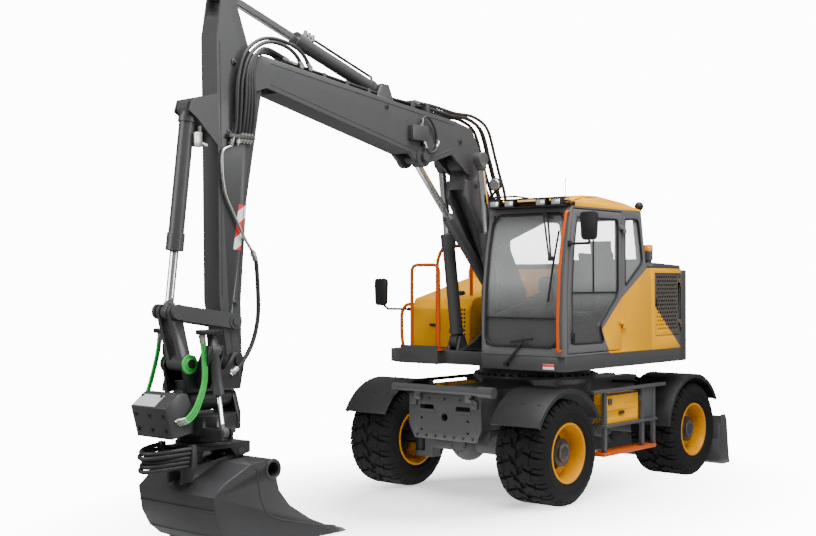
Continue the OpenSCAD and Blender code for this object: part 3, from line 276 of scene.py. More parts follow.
def add_box(form, corner, across, bevel=0.0, rounds=2):
    """A box between two opposite corners."""
    low, high = (Vector(map(pick, corner, across)) for pick in (min, max))
    size = high - low
    made = bmesh.ops.create_cube(form, size=1.0, matrix=Matrix.Translation((low + high) / 2)
                                 @ Matrix.Diagonal((*size, 1.0)))
    if bevel:
        edges = list({e for v in made["verts"] for e in v.link_edges})
        bmesh.ops.bevel(form, geom=edges, offset=min(bevel, 0.45 * min(size)), segments=rounds, profile=0.5,
                        affect="EDGES", clamp_overlap=True)


def add_plate(form, outline, low, high, axis=1, bevel=0.0):
    """A plate with its outline across the other two axes, between two levels of one axis."""
    under, over = ([form.verts.new((*p[:axis], level, *p[axis:])) for p in outline] for level in (low, high))
    faces = [form.faces.new(under), form.faces.new(list(reversed(over)))]
    for i in range(len(outline)):
        j = (i + 1) % len(outline)
        faces.append(form.faces.new((under[i], over[i], over[j], under[j])))
    bmesh.ops.recalc_face_normals(form, faces=faces)
    if bevel:
        edges = list({e for f in faces for e in f.edges})
        bmesh.ops.bevel(form, geom=edges, offset=bevel, segments=2, profile=0.5, affect="EDGES", clamp_overlap=True)


def fit_made(name, add, rows, finish, body):
    """One piece of like shapes: boxes, rods or plates, a row of sizes for each."""
    form = bmesh.new()
    for row in rows:
        add(form, *row)
    fit_form(name, form, finish, body)


def node_tree(name, inputs, steps, links):
    """A geometry tree of named nodes and the links between them, ending in plain geometry with its finish on."""
    tree = bpy.data.node_groups.new(name, "GeometryNodeTree")
    for label, kind in (*inputs, ("Finish", "Material")):
        tree.interface.new_socket(label, in_out="INPUT", socket_type="NodeSocket" + kind)
    tree.interface.new_socket("Shape", in_out="OUTPUT", socket_type="NodeSocketGeometry")
    steps = {"given": "NodeGroupInput", **steps, "solid": "GeometryNodeRealizeInstances",
             "painted": "GeometryNodeSetMaterial", "result": "NodeGroupOutput"}
    made = {key: tree.nodes.new(kind) for key, kind in steps.items()}
    if "step" in made:
        made["step"].operation = "SCALE"
    for start, out, end, port in (*links, ("solid", 0, "painted", "Geometry"), ("given", "Finish", "painted", "Material"),
                                  ("painted", 0, "result", 0)):
        tree.links.new(made[start].outputs[out], made[end].inputs[port])
    return tree, made


def repeat_tree(name, turning):
    """Copies of a shape in a row by a step, or turned about the origin by a step."""
    return node_tree(name, (("Shape", "Geometry"), ("Copies", "Int"), ("Step", "Vector")),
                     {"points": "GeometryNodePoints", "index": "GeometryNodeInputIndex", "step": "ShaderNodeVectorMath",
                      "copies": "GeometryNodeInstanceOnPoints"},
                     (("given", "Copies", "points", "Count"), ("given", "Step", "step", 0), ("index", 0, "step", "Scale"),
                      ("step", 0, "copies", "Rotation") if turning else ("step", 0, "points", "Position"),
                      ("points", 0, "copies", "Points"), ("given", "Shape", "copies", "Instance"),
                      ("copies", 0, "solid", 0)))[0]


turned_copies, row_copies = repeat_tree("turned_copies", True), repeat_tree("row_copies", False)


def grown(name, mesh, tree, inputs, centre=(0, 0, 0)):
    """The plain mesh that a node tree makes from a start mesh, moved to its centre."""
    start = bpy.data.objects.new(name + "_start", mesh)
    scene.collection.objects.link(start)
    modifier = start.modifiers.new("grow", "NODES")
    modifier.node_group = tree
    for item in tree.interface.items_tree:
        if item.in_out == "INPUT" and item.name in inputs:
            modifier[item.identifier] = inputs[item.name]
    start.update_tag()
    ready = start.evaluated_get(bpy.context.evaluated_depsgraph_get())
    result = bpy.data.meshes.new_from_object(ready)
    result.name = name
    bpy.data.objects.remove(start)
    result.transform(Matrix.Translation(centre))
    return result


def plated_steel(name, base, rough):
    material, shader, place = new_finish(name)
    cloud = place.noise(60.0, 4.0)
    join_up(shader, (0.08, 0.0004, place.noise(900.0, 1.0)), Metallic=1.0,
            Base_Color=cloud.mixed(colour(*base, 0.75), colour(*base, 1.1)), Roughness=rough - 0.08 + 0.16 * cloud)
    return material


dark_steel = plated_steel("dark_steel", (0.10, 0.10, 0.105), 0.42)


def hexagon_head(form, place, along, across):
    """A bolt head with its washer face, standing on a point."""
    place, along = Vector(place), Vector(along).normalized()
    add_rod(form, place - along * 0.004, place + along * 0.12 * across, 0.68 * across, sides=20)
    add_rod(form, place - along * 0.002, place + along * 0.62 * across, 0.56 * across, 0.53 * across, sides=6)


def bolt_row(name, first, along, across, count, step, body, turned=False, centre=(0, 0, 0)):
    bolt = bmesh.new()
    hexagon_head(bolt, first, along, across)
    mesh = grown(name, made_mesh(name + "_one", bolt), turned_copies if turned else row_copies,
                 {"Copies": count, "Step": step, "Finish": dark_steel}, centre)
    fit_piece(name, mesh, None, body)


ring_bolts, cover_bolts = 40, 10
bolt_row("ring_bolts", (0.652, 0, 1.185), (0, 0, 1), 0.034, ring_bolts, (0, 0, 2 * math.pi / ring_bolts), "chassis",
         turned=True)
plate_face = 1.608
bolt_row("plate_bolts_upper", (plate_face, -0.40, 1.005), (1, 0, 0), 0.022, 5, (0, 0.20, 0), "chassis")
bolt_row("plate_bolts_lower", (plate_face, -0.36, 0.622), (1, 0, 0), 0.022, 7, (0, 0.12, 0), "chassis")
front_lugs = bmesh.new()
lug = (0.43, 0.93), (0.36, 0.93), (0.345, 1.0), (0.38, 1.03), (0.44, 1.0)
for side in (-1, 1):
    add_plate(front_lugs, [(side * y, z) for y, z in lug], plate_face - 0.004, plate_face + 0.03, axis=0, bevel=0.005)
    add_box(front_lugs, (plate_face - 0.004, side * 0.235 - 0.105, 0.872),
            (plate_face + 0.008, side * 0.235 + 0.105, 0.892), 0.003)
fit_form("front_lugs", front_lugs, charcoal_enamel, "chassis")

# Axles: cast iron housings with a round differential in the middle, sprayed in a flat iron grey.
# The front one carries the steering rod; both are bolted to pads under the beam.
front_x, rear_x, axle_z, half_track = 1.2, -1.38, 0.525, 0.965
iron_grey = enamel("axle_grey", (0.058, 0.059, 0.061), 0.55)
ground_edges(iron_grey, 0.004, "front_axle", "rear_axle")
for name, x in (("front", front_x), ("rear", rear_x)):
    bolt_row(name + "_cover_bolts", (0.0, 0.0, 0.083), (1, 0, 0), 0.016, cover_bolts, (2 * math.pi / cover_bolts, 0, 0),
             "chassis", True, (x + 0.19, 0, axle_z))
chrome = plated_steel("hard_chrome", (0.80, 0.81, 0.82), 0.16)
ground_edges(chrome, 0.002, "steering_rod")

# Tyres: wide flotation tyres of black rubber, moulded with rows of chunky slanted blocks over a smooth carcass.
# The blocks wrap over the shoulders, and the side walls carry two thin moulded rings.
tyre_skin, tyre_shader, tyre_place = new_finish("tyre_rubber_skin")
tyre_dust = tyre_place.noise(5.0, 6.0, 0.7)
join_up(tyre_shader, (0.35, 0.0012, tyre_place.noise(260.0, 3.0)), Roughness=0.72 + 0.2 * tyre_dust,
        Base_Color=(tyre_dust.above(0.56, 0.5) * 0.5).mixed(colour(0.0045, 0.0045, 0.0047), colour(0.014, 0.0135, 0.013)),
        Specular_IOR_Level=0.18)
carcass_half = [(0.0, 0.4990), (0.120, 0.4975), (0.225, 0.4920), (0.258, 0.480), (0.277, 0.458), (0.2865, 0.425),
                (0.2875, 0.404), (0.2905, 0.401), (0.2905, 0.394), (0.288, 0.391), (0.287, 0.372), (0.283, 0.345),
                (0.2845, 0.338), (0.2825, 0.331), (0.272, 0.318), (0.260, 0.303), (0.2465, 0.2985), (0.2445, 0.2790)]
crown_half = [(0.0, 0.5245), (0.19, 0.5240), (0.225, 0.5190), (0.249, 0.5100), (0.266, 0.488), (0.2795, 0.462)]


def along_line(line, at):
    """The height of a line of points over a place along it."""
    for (a0, b0), (a1, b1) in zip(line, line[1:]):
        if at <= a1:
            return b0 + (b1 - b0) * (at - a0) / max(1e-6, a1 - a0)
    return line[-1][1]


def add_block(form, left, right, start, sweep, slant, bend=0.0):
    """One tread block between two lines across the tyre: slanted, with drafted walls and a chamfered crown."""
    rows, columns, mean_r = 5, 3, 0.5

    def at(i, j, level, grow):
        share = i / (rows - 1)
        y = left + (right - left) * share + (grow if share > 0.5 else -grow) * (1 if right > left else -1)
        turn = start + slant * share + bend * math.sin(math.pi * share) + sweep * j / (columns - 1)
        turn += (grow if j == columns - 1 else -grow if j == 0 else 0.0) / mean_r
        top, foot = along_line(crown_half, abs(y)), along_line(carcass_half, abs(y)) - 0.006
        radius = (foot, top - 0.005, top)[level]
        return form.verts.new((radius * math.sin(turn), y, radius * math.cos(turn)))

    crown, brim, foot = ([[at(i, j, level, grow) for j in range(columns)] for i in range(rows)]
                         for level, grow in ((2, -0.005), (1, 0.0), (0, 0.004)))
    for i in range(rows - 1):
        for j in range(columns - 1):
            form.faces.new((crown[i][j], crown[i][j + 1], crown[i + 1][j + 1], crown[i + 1][j]))
    rim = ([(i, 0) for i in range(rows)] + [(rows - 1, j) for j in range(1, columns)]
           + [(i, columns - 1) for i in range(rows - 2, -1, -1)] + [(0, j) for j in range(columns - 2, 0, -1)])
    for (i, j), (k, m) in zip(rim, rim[1:] + rim[:1]):
        form.faces.new((crown[i][j], crown[k][m], brim[k][m], brim[i][j]))
        form.faces.new((brim[i][j], brim[k][m], foot[k][m], foot[i][j]))
    for i in range(rows):
        for j in range(columns):
            if (i, j) not in rim:
                form.verts.remove(brim[i][j])
                form.verts.remove(foot[i][j])


pitches = 20
pitch = 2 * math.pi / pitches
tread = bmesh.new()
for side, shift in ((1, 0.0), (-1, 0.5)):
    for inner, outer, start, sweep, slant, bend in (
            (0.150, 0.276, 0.0, 0.56, 0.10, 0.0), (0.176, 0.276, 0.60, 0.26, 0.16, 0.0),
            (0.060, 0.146, -0.28, 0.60, 0.18, 0.06), (0.078, 0.166, 0.38, 0.26, 0.12, 0.0),
            (0.006, 0.070, 0.14, 0.52, -0.22, 0.0)):
        add_block(tread, side * inner, side * outer, (shift + start) * pitch, sweep * pitch, slant * pitch, bend * pitch)
tread_ring = grown("tread_ring", made_mesh("tread_pitch", tread, 28.0), turned_copies,
                   {"Copies": pitches, "Step": (0, pitch, 0), "Finish": tyre_skin})


def lathed(form, profile, sides, closed=False):
    """A shape turned about the Y axis from (y, radius) pairs."""
    rings = [[form.verts.new((r * math.sin(2 * math.pi * k / sides), y, r * math.cos(2 * math.pi * k / sides)))
              for k in range(sides)] for y, r in profile]
    for under, over in zip(rings, rings[1:] + rings[:1] if closed else rings[1:]):
        for k in range(sides):
            m = (k + 1) % sides
            form.faces.new((under[k], over[k], over[m], under[m]))


wheel_places = {"fl": (front_x, 1), "fr": (front_x, -1), "rl": (rear_x, 1), "rr": (rear_x, -1)}
for name, (x, side) in wheel_places.items():
    carcass = bmesh.new()
    lathed(carcass, carcass_half[::-1] + [(-y, r) for y, r in carcass_half[1:]], 120, True)
    carcass.from_mesh(tread_ring)
    bmesh.ops.transform(carcass, matrix=Matrix.Translation((x, side * half_track, axle_z)), verts=carcass.verts)
    fit_form("tyre_%s_moulded" % name, carcass, tyre_skin, "wheel_" + name, ("tyre_" + name,), 30.0)


# Rims: deep dished steel rims in amber enamel round a dark grey planetary hub with a ring of wheel nuts.
# Rim and hub are one bolted set, so the colour changes at the hub's flange.
def hub_mask(place):
    x, y, z = place.axes()
    across = lambda middle: (x - middle) * (x - middle) + (z - axle_z) * (z - axle_z)
    return 1.0 - across(front_x).least(across(rear_x)).above(0.188 ** 2, 0.002)


rim_enamel = enamel("rim_enamel", (0.60, 0.245, 0.0), 0.34, 0.05, (0.030, 0.030, 0.032), hub_mask, edge_wear_highlight_gain=1.15,
                    tint=(1.0, 0.55, 0.10))
nut_count, cap_bolts = 20, 6
nut_form = bmesh.new()
hexagon_head(nut_form, (0.158, 0.0, 0.0), (0, 1, 0), 0.026)
wheel_nut = made_mesh("wheel_nut", nut_form)
for name, (x, side) in wheel_places.items():
    ground_edges(rim_enamel, 0.003, "rim_" + name)
    outwards = Matrix.Rotation(0 if side > 0 else math.pi, 4, "Z")
    nuts = grown("wheel_nuts_" + name, wheel_nut.copy(), turned_copies,
                 {"Copies": nut_count, "Step": (0, 2 * math.pi / nut_count, 0), "Finish": dark_steel})
    nuts.transform(Matrix.Translation((x, side * (half_track + 0.074), axle_z)) @ outwards)
    cap = bmesh.new()
    lathed(cap, [(0.213, 0.0), (0.213, 0.060), (0.219, 0.064), (0.219, 0.088), (0.213, 0.092)], 48)
    for turn in [2 * math.pi * k / cap_bolts for k in range(cap_bolts)]:
        hexagon_head(cap, (0.076 * math.sin(turn), 0.219, 0.076 * math.cos(turn)), (0, 1, 0), 0.012)
    bmesh.ops.transform(cap, matrix=Matrix.Translation((x, side * half_track, axle_z)) @ outwards, verts=cap.verts)
    fit_piece("wheel_nuts_" + name, nuts, None, "wheel_" + name)
    fit_form("hub_cap_" + name, cap, iron_grey, "wheel_" + name)


# Mudguards and knuckles: thick moulded plastic guards over the wheels, the front ones carried by the knuckles.
# Their skin is grained and grey black; screws with broad washers hold them to their stays.
def moulded_plastic(name, base, rough):
    material, shader, place = new_finish(name)
    cloud, scuff = place.noise(3.0, 5.0), place.noise(46.0, 5.0, 0.75)
    join_up(shader, (0.25, 0.0008, place.cells(420.0)), Roughness=rough - 0.1 + 0.2 * cloud, Specular_IOR_Level=0.35,
            Base_Color=(cloud * 0.5 + scuff.above(0.58, 0.25) * 0.5).mixed(colour(*base, 0.85), colour(*base, 1.35)))
    return material


guard_plastic = moulded_plastic("guard_plastic", (0.014, 0.0143, 0.015), 0.5)
black_plastic = moulded_plastic("black_plastic", (0.007, 0.007, 0.0075), 0.48)
ground_edges(guard_plastic, 0.004, "knuckle_l", "knuckle_r", "rear_guards")
for name, x, body, side, turns in (("front_left", front_x, "knuckle_l", 1, (52, 104, 138)),
                                   ("front_right", front_x, "knuckle_r", -1, (52, 104, 138)),
                                   ("rear_left", rear_x, "chassis", 1, (34, 84, 132)),
                                   ("rear_right", rear_x, "chassis", -1, (34, 84, 132))):
    screws = bmesh.new()
    for turn in turns:
        out = Vector((math.cos(math.radians(turn)), 0, math.sin(math.radians(turn))))
        for across in (-0.18, 0.0, 0.18):
            hexagon_head(screws, Vector((x, side * half_track + across, axle_z)) + out * 0.6275, out, 0.016)
    fit_form("guard_screws_" + name, screws, dark_steel, body)

# Side steps and tool boxes: welded grey step frames between the wheels, a yellow box in each, an orange lowest step.
# The boxes are folded sheet with a hung lid; the treads are punched with raised oval studs.
yellow = (0.80, 0.36, 0.0)


def yellow_finish(name, second=None, split=None):
    return enamel(name, yellow, 0.34, 0.04, second, split, edge_wear_highlight_gain=1.08, shine=0.3, tint=(1.0, 0.55, 0.02))


yellow_enamel = yellow_finish("yellow_enamel")
orange_enamel = enamel("orange_enamel", (0.52, 0.075, 0.006), 0.36, 0.04, edge_wear_highlight_gain=1.2, tint=(1.0, 0.45, 0.2))
ground_edges(iron_grey, 0.004, "side_steps")
ground_edges(yellow_enamel, 0.005, "tool_boxes")
ground_edges(orange_enamel, 0.008, "low_steps")


def stud_rows(name, place, rows, columns, gap, finish, body):
    """Raised oval studs on a tread, in rows along x and columns along y."""
    stud, size = bmesh.new(), Matrix.Diagonal((0.013, 0.007, 0.004, 1.0))
    for k in range(columns):
        spot = Matrix.Translation(Vector(place) + Vector((gap * 0.5 * (k % 2), k * gap, 0)))
        bmesh.ops.create_uvsphere(stud, u_segments=12, v_segments=6, radius=1.0, matrix=spot @ size)
    mesh = grown(name, made_mesh(name + "_one", stud), row_copies,
                 {"Copies": rows, "Step": (gap, 0, 0), "Finish": finish})
    fit_piece(name, mesh, None, body)


for name, side in (("left", 1), ("right", -1)):
    stud_rows("low_step_studs_" + name, (-0.55, side * 1.11 - 0.055, 0.4447), 21, 4, 0.048, orange_enamel, "chassis")
    stud_rows("step_studs_" + name, (-0.55, side * 1.115 - 0.05, 0.726), 5, 4, 0.048, iron_grey, "chassis")
    outer = side * 1.15
    fit_made("step_web_" + name, add_box, [((-0.532, side * 1.162, 0.728), (-0.338, side * 1.182, 1.062), 0.004)],
             iron_grey, "chassis")
    fit_made("box_lid_" + name, add_box, [((-0.278, side * 1.025, 0.915), (0.418, outer, 1.035), 0.008)],
             yellow_enamel, "chassis")
    hinge, hinge_y = bmesh.new(), outer + side * 0.006
    add_box(hinge, (-0.268, outer, 1.018), (0.408, outer + side * 0.009, 1.031), 0.003)
    for x in (-0.20, -0.08, 0.04, 0.16, 0.28, 0.38):
        add_rod(hinge, (x - 0.03, hinge_y, 1.025), (x + 0.03, hinge_y, 1.025), 0.009, sides=16)
    add_box(hinge, (0.03, outer, 0.815), (0.13, outer + side * 0.016, 0.85), 0.006)
    fit_form("box_hinge_" + name, hinge, dark_steel, "chassis")

# Front bar: a thick tube across the front with a wider end sleeve, clamped by two brackets on the front plate.
# It guards the plate, and is sprayed with the same charcoal enamel as the chassis.
ground_edges(charcoal_enamel, 0.004, "front_bar")
fit_made("bar_clamp_bolts", hexagon_head, [((1.644, y + 0.025, z), (0.35, 0, 1), 0.02) for y in (-0.33, 0.33)
                                           for z in (1.02, 1.075)], dark_steel, "chassis")


# Dozer blade: a curved plate between two end plates on two arms, lifted by a pair of cylinders.
# Its bolted lower edge is bare worn steel below the charcoal paint.
def edge_mask(place):
    return 1.0 - (place.axes()[2] + 0.02 * place.noise(9.0)).above(0.105, 0.03)


blade_paint = enamel("blade_paint", charcoal, 0.45, 0.08, (0.13, 0.125, 0.12), edge_mask)
ground_edges(blade_paint, 0.005, "blade")
ground_edges(charcoal_enamel, 0.003, "blade_barrels")
ground_edges(chrome, 0.002, "blade_rods")
bolt_row("blade_bolts", (-2.086, -1.1, 0.088), (-1, 0, 0.35), 0.024, 12, (0, 0.2, 0), "blade")

# Deck: the revolving frame of thick plate with a skirt under the cab and a stepping platform at the right front.
# A red and white reflective strip is stuck on the skirt's front; the platform has raised studs against slipping.
ground_edges(charcoal_enamel, 0.008, "deck")
stud_rows("platform_studs", (0.80, -1.12, 1.4643), 6, 12, 0.052, charcoal_enamel, "upper")


def striped_film(name, red, across, width, along):
    """Reflective film with red and white bands over a fine bead grain."""
    material, shader, place = new_finish(name)
    run = place.add("VectorMath", {"operation": "DOT_PRODUCT"}, {0: place, 1: along}, out="Value")
    share = (run - across) * (1.0 / width)
    band = share.maths("FLOORED_MODULO", share, 2.0).above(1.0, 0.02)
    bead = place.cells(900.0)
    join_up(shader, (0.15, 0.0004, bead), Base_Color=band.mixed(colour(*red), colour(0.85, 0.85, 0.84)),
            Roughness=0.25 + 0.2 * bead)
    return material


skirt_film = striped_film("skirt_film", (0.70, 0.02, 0.015), 1.3662, 0.026, (0.0, 0.0, 1.0))
fit_made("skirt_strip", add_box, [((1.3285, 1.015, 1.340), (1.3325, 1.145, 1.393), 0.0012)], skirt_film, "upper")


# Counterweight: one heavy casting that rounds off the tail, rough cast and sprayed charcoal.
# It carries a pair of tail lamps, each a red moulded lens in a black frame.
def lens_finish(name, low, high, pattern, rough, bump, **fixed):
    """A moulded lens or reflector, whose small facets give its colour, roughness and bumps."""
    material, shader, place = new_finish(name)
    facet = pattern(place)
    join_up(shader, (*bump, facet), Base_Color=facet.mixed(colour(*low), colour(*high)),
            Roughness=rough[0] + rough[1] * facet, **fixed)
    return material


ground_edges(charcoal_enamel, 0.014, "counterweight")
red_lens = lens_finish("red_lens", (0.42, 0.01, 0.008), (0.62, 0.03, 0.02), lambda place: place.cells(120.0),
                       (0.1, 0.15), (0.3, 0.001), Coat_Weight=0.5)
tail_r, tail_lamp_z = 1.72, 1.74
for name, side in (("left", 1), ("right", -1)):
    turn = math.radians(180 - side * 34)
    out = Vector((math.cos(turn), math.sin(turn), 0))
    for part, finish, deep, size in (("frame", black_plastic, 0.012, 0.060), ("lens", red_lens, 0.020, 0.052)):
        tail_lamp = bmesh.new()
        place = Matrix((Vector((-out.y, out.x, 0)) * 2 * (size + 0.04), out * 2 * deep, (0, 0, 2 * size)))
        place = place.transposed().to_4x4()
        place.translation = out * (tail_r - 0.012) + Vector((0, 0, tail_lamp_z))
        bmesh.ops.create_cube(tail_lamp, size=1.0, matrix=place)
        bmesh.ops.bevel(tail_lamp, geom=list(tail_lamp.edges), offset=0.006, segments=2, profile=0.5, affect="EDGES")
        fit_form("tail_lamp_%s_%s" % (part, name), tail_lamp, finish, "upper")


# Engine house: folded yellow panels over the engine, with a dark upper corner behind the cab on the left.
# The lid on top is dark, and a punched two-tone door closes the radiator bay.
def house_mask(place):
    x, y, z = place.axes()
    corner_x, corner_z, slope = -0.432, 1.969, 0.803
    corner = (z - x * slope).above(corner_z - corner_x * slope)
    return corner * y.above(1.20) * (1.0 - x.above(-0.470)) * (1.0 - z.above(2.296))


house_paint = yellow_finish("house_paint", (0.060, 0.060, 0.062), house_mask)
ground_edges(house_paint, 0.006, "engine_house")
ground_edges(charcoal_enamel, 0.008, "hood")
ground_edges(house_paint, 0.004, "service_door")
ground_edges(iron_grey, 0.01, "engine")
fit_made("radiator_core", add_box, [((-1.0, 1.205, 1.64), (-0.505, 1.2135, 2.25), 0.002)], black_plastic, "service_door")
amber_lens = lens_finish("amber_lens", (0.85, 0.24, 0.01), (0.95, 0.36, 0.02), lambda place: place.bands("Z", 60.0),
                         (0.12, 0.1), (0.2, 0.001), Coat_Weight=0.6)
beacon = bmesh.new()
lathed(beacon, [(0.0, 0.0525), (0.004, 0.0545), (0.045, 0.0545), (0.060, 0.050), (0.070, 0.036), (0.074, 0.0)], 40)
bmesh.ops.transform(beacon, matrix=Matrix.Translation((-0.583, 1.10, 2.530)) @ Matrix.Rotation(math.pi / 2, 4, "X"),
                    verts=beacon.verts)
fit_form("beacon_lens", beacon, amber_lens, "hood")
fit_made("hood_latches", add_box, [((-0.404, y - 0.05, 2.352), (-0.396, y + 0.05, 2.385), 0.003) for y in (-0.9, 0.9)],
         black_plastic, "hood")
grille_latch = bmesh.new()
add_box(grille_latch, (-0.515, 1.243, 1.93), (-0.487, 1.253, 2.02), 0.004)
add_rod(grille_latch, (-0.501, 1.25, 1.955), (-0.501, 1.256, 1.955), 0.009)
fit_form("grille_latch", grille_latch, black_plastic, "service_door")

# Side cover: the yellow tank and tool cover on the right, with black discs painted as the shade in its holes, a filler
# cap and a lid handle.
# It is pressed sheet on a frame, bolted to the deck.
ground_edges(yellow_enamel, 0.014, "side_cover")
cover_trim_and_hole_shade = bmesh.new()
add_rod(cover_trim_and_hole_shade, (0.42, -0.72, 2.045), (0.42, -0.72, 2.085), 0.06, 0.055)
add_rod(cover_trim_and_hole_shade, (0.42, -0.72, 2.084), (0.42, -0.72, 2.097), 0.048, 0.040)
add_box(cover_trim_and_hole_shade, (0.676, -0.95, 1.70), (0.694, -0.80, 1.73), 0.005)
# Black discs stand for the holes: painted shade where the cover's holes look into the dark.
for k in range(5):
    for j in range(7):
        y, z = -0.46 - 0.035 * k, 1.62 + 0.045 * j
        add_rod(cover_trim_and_hole_shade, (0.678, y, z), (0.6815, y, z), 0.012, sides=12)
fit_form("cover_trim_and_hole_shade", cover_trim_and_hole_shade, black_plastic, "upper")


# Cab: a pressed and welded steel cab on the left, dark grey round its glass, with a yellow rear lower corner.
# The door hangs at its rear edge, and both are sprayed before the glass is bonded in.
def cab_mask(place):
    x, y, z = place.axes()
    upper, middle, lower = ((at_x + at_z * slope) - z * slope for at_x, at_z, slope in (
        (-0.305, 2.345, 1.6615), (0.235, 2.020, 1.2065), (0.455, 1.470, -0.6417)))
    return (upper.least(middle).least(lower) - x).above(0.0) * y.above(1.15)


cab_paint = enamel("cab_paint", (0.112, 0.112, 0.114), 0.40, 0.04, yellow, cab_mask, edge_wear_highlight_gain=1.25, shine=0.14)
ground_edges(cab_paint, 0.009, "cab_shell", "door")
roof_paint = yellow_finish("roof_paint", (0.010, 0.010, 0.011), lambda place: place.axes()[0].above(1.105))
ground_edges(roof_paint, 0.018, "cab_roof")

# Glass: tinted safety glass bonded into the openings, with black rubber round each pane.
# It carries a faint film of dust that thickens towards the lower edges, and its upper part is painted lighter and more
# opaque, a painted reflection.
glass, glass_shader, glass_place = new_finish("tinted_glass")
glass_dust, glass_z = glass_place.noise(3.5, 6.0, 0.7), glass_place.axes()[2]
low_film = (1.0 - glass_z.above(1.9, 1.2)) * glass_dust
# The upper glass is painted lighter and more opaque: a painted reflection of the bright studio, mottled by the dust
# pattern.
painted_upper_reflection = glass_z.above(2.05, 0.35) * (0.75 + 0.5 * glass_dust)
join_up(glass_shader, Base_Color=painted_upper_reflection.mixed(colour(0.15, 0.155, 0.15), colour(0.46, 0.48, 0.475)),
        Roughness=0.015 + 0.07 * low_film, Alpha=0.24 + 0.10 * low_film + 0.06 * painted_upper_reflection)
for node in ("cab_glass", "door_glass"):
    nodes[node].data.materials.clear()
    nodes[node].data.materials.append(glass)
tube_along_path, tube_nodes = node_tree(
    "tube_along_path", (("Path", "Geometry"), ("Radius", "Float"), ("Sides", "Int")),
    {"curve": "GeometryNodeMeshToCurve", "ring": "GeometryNodeCurvePrimitiveCircle", "sweep": "GeometryNodeCurveToMesh",
     "smooth": "GeometryNodeSetShadeSmooth"},
    (("given", "Path", "curve", "Mesh"), ("given", "Radius", "ring", "Radius"), ("given", "Sides", "ring", "Resolution"),
     ("curve", 0, "sweep", "Curve"), ("ring", 0, "sweep", "Profile Curve"), ("sweep", 0, "smooth", 0),
     ("smooth", 0, "solid", 0)))
tube_nodes["sweep"].inputs["Fill Caps"].default_value = True


def eased(points, each=8):
    """A smooth path through the given points."""
    p = [Vector(q) for q in points]
    p = [2 * p[0] - p[1]] + p + [2 * p[-1] - p[-2]]
    path = []
    for i in range(1, len(p) - 2):
        a, b, c, d = p[i - 1:i + 3]
        for t in [k / each for k in range(each)]:
            path.append(0.5 * (2 * b + (c - a) * t + (2 * a - 5 * b + 4 * c - d) * t * t
                               + (3 * b - a - 3 * c + d) * t ** 3))
    return path + [p[-2]]


def filleted(points, radius, closed=False, each=4):
    """Straight runs with their corners rounded."""
    p, path = [Vector(q) for q in points], []
    for i, b in enumerate(p):
        if not closed and i in (0, len(p) - 1):
            path.append(b)
            continue
        a, c = p[i - 1], p[(i + 1) % len(p)]
        reach = min(radius, 0.45 * (a - b).length, 0.45 * (c - b).length)
        start, end = b + (a - b).normalized() * reach, b + (c - b).normalized() * reach
        path += [(1 - t) ** 2 * start + 2 * t * (1 - t) * b + t * t * end for t in [k / each for k in range(each + 1)]]
    return path


def tubes(name, paths, radius, finish, body, sides=12, closed=False, span=None):
    """Round tubes or hoses along several paths, as one piece."""
    verts, edges = [], []
    for path in paths:
        first = len(verts)
        verts += [tuple(q) for q in path]
        edges += [(k, k + 1) for k in range(first, len(verts) - 1)] + ([(len(verts) - 1, first)] if closed else [])
    route = bpy.data.meshes.new(name + "_route")
    route.from_pydata(verts, edges, [])
    mesh = grown(name, route, tube_along_path, {"Radius": radius, "Sides": sides, "Finish": finish})
    return fit_piece(name, mesh, None, body, span=span)


def pane_edge(outline, y):
    return filleted([(x, y, z) for x, z in outline], 0.05, True)


def screen_x(z, inset=0.0):
    """How far forward the bent windscreen stands at a height."""
    return along_line([(1.4643, 1.33), (1.83, 1.33), (2.15, 1.312), (2.52, 1.26), (2.945, 1.165)], z) - inset


seal = moulded_plastic("rubber_seal", (0.008, 0.008, 0.009), 0.6)
door_pane = [(1.163, 1.584), (1.163, 2.06), (1.133, 2.48), (1.068, 2.84), (0.29, 2.84), (0.29, 2.07), (0.64, 1.76),
             (0.56, 1.584)]
quarter_pane = [(0.15, 2.855), (-0.12, 2.855), (-0.215, 2.41), (0.15, 2.15)]
right_pane = [(1.18, 1.85), (1.07, 2.855), (-0.11, 2.855), (-0.2, 2.42), (0.25, 2.08)]
screen_low, screen_top, screen_left, screen_right = 1.556, 2.873, 1.188, 0.319
screen_line = [(screen_left, z) for z in (1.62, 1.84, 2.15, 2.52, 2.80)]
screen_line += [(screen_left - 0.06, screen_top), (screen_right + 0.06, screen_top)]
screen_line += [(screen_right, z) for z in (2.80, 2.52, 2.15, 1.84, 1.62)]
screen_line += [(screen_right + 0.07, screen_low), (screen_left - 0.07, screen_low)]
screen_edge = filleted([(screen_x(z, -0.002), y, z) for y, z in screen_line], 0.06, True)
joint_z = 1.839
for name, paths, radius, body, closed in (
        ("door_seal", [pane_edge(door_pane, 1.240)], 0.011, "door", True),
        ("side_seals", [pane_edge(quarter_pane, 1.240), pane_edge(right_pane, 0.267)], 0.011, "upper", True),
        ("screen_seal", [screen_edge], 0.014, "upper", True),
        ("screen_joint", [[(screen_x(joint_z, 0.012), y, joint_z) for y in (0.325, 0.75, 1.182)]], 0.008, "upper",
         False)):
    tubes(name, paths, radius, seal, body, sides=8, closed=closed)

# Door fittings: a black latch plate with its pull, and two narrow sliding window rails inside the pane.
# They are moulded plastic, screwed from inside.
fit_made("door_fittings", add_box, [((1.112, 1.238, 1.585), (1.186, 1.2485, 1.695), 0.008),
                                    ((1.124, 1.246, 1.630), (1.174, 1.262, 1.652), 0.006),
                                    ((0.30, 1.226, 2.082), (1.155, 1.236, 2.098), 0.003),
                                    ((0.735, 1.226, 2.10), (0.755, 1.234, 2.835), 0.003)], black_plastic, "door")

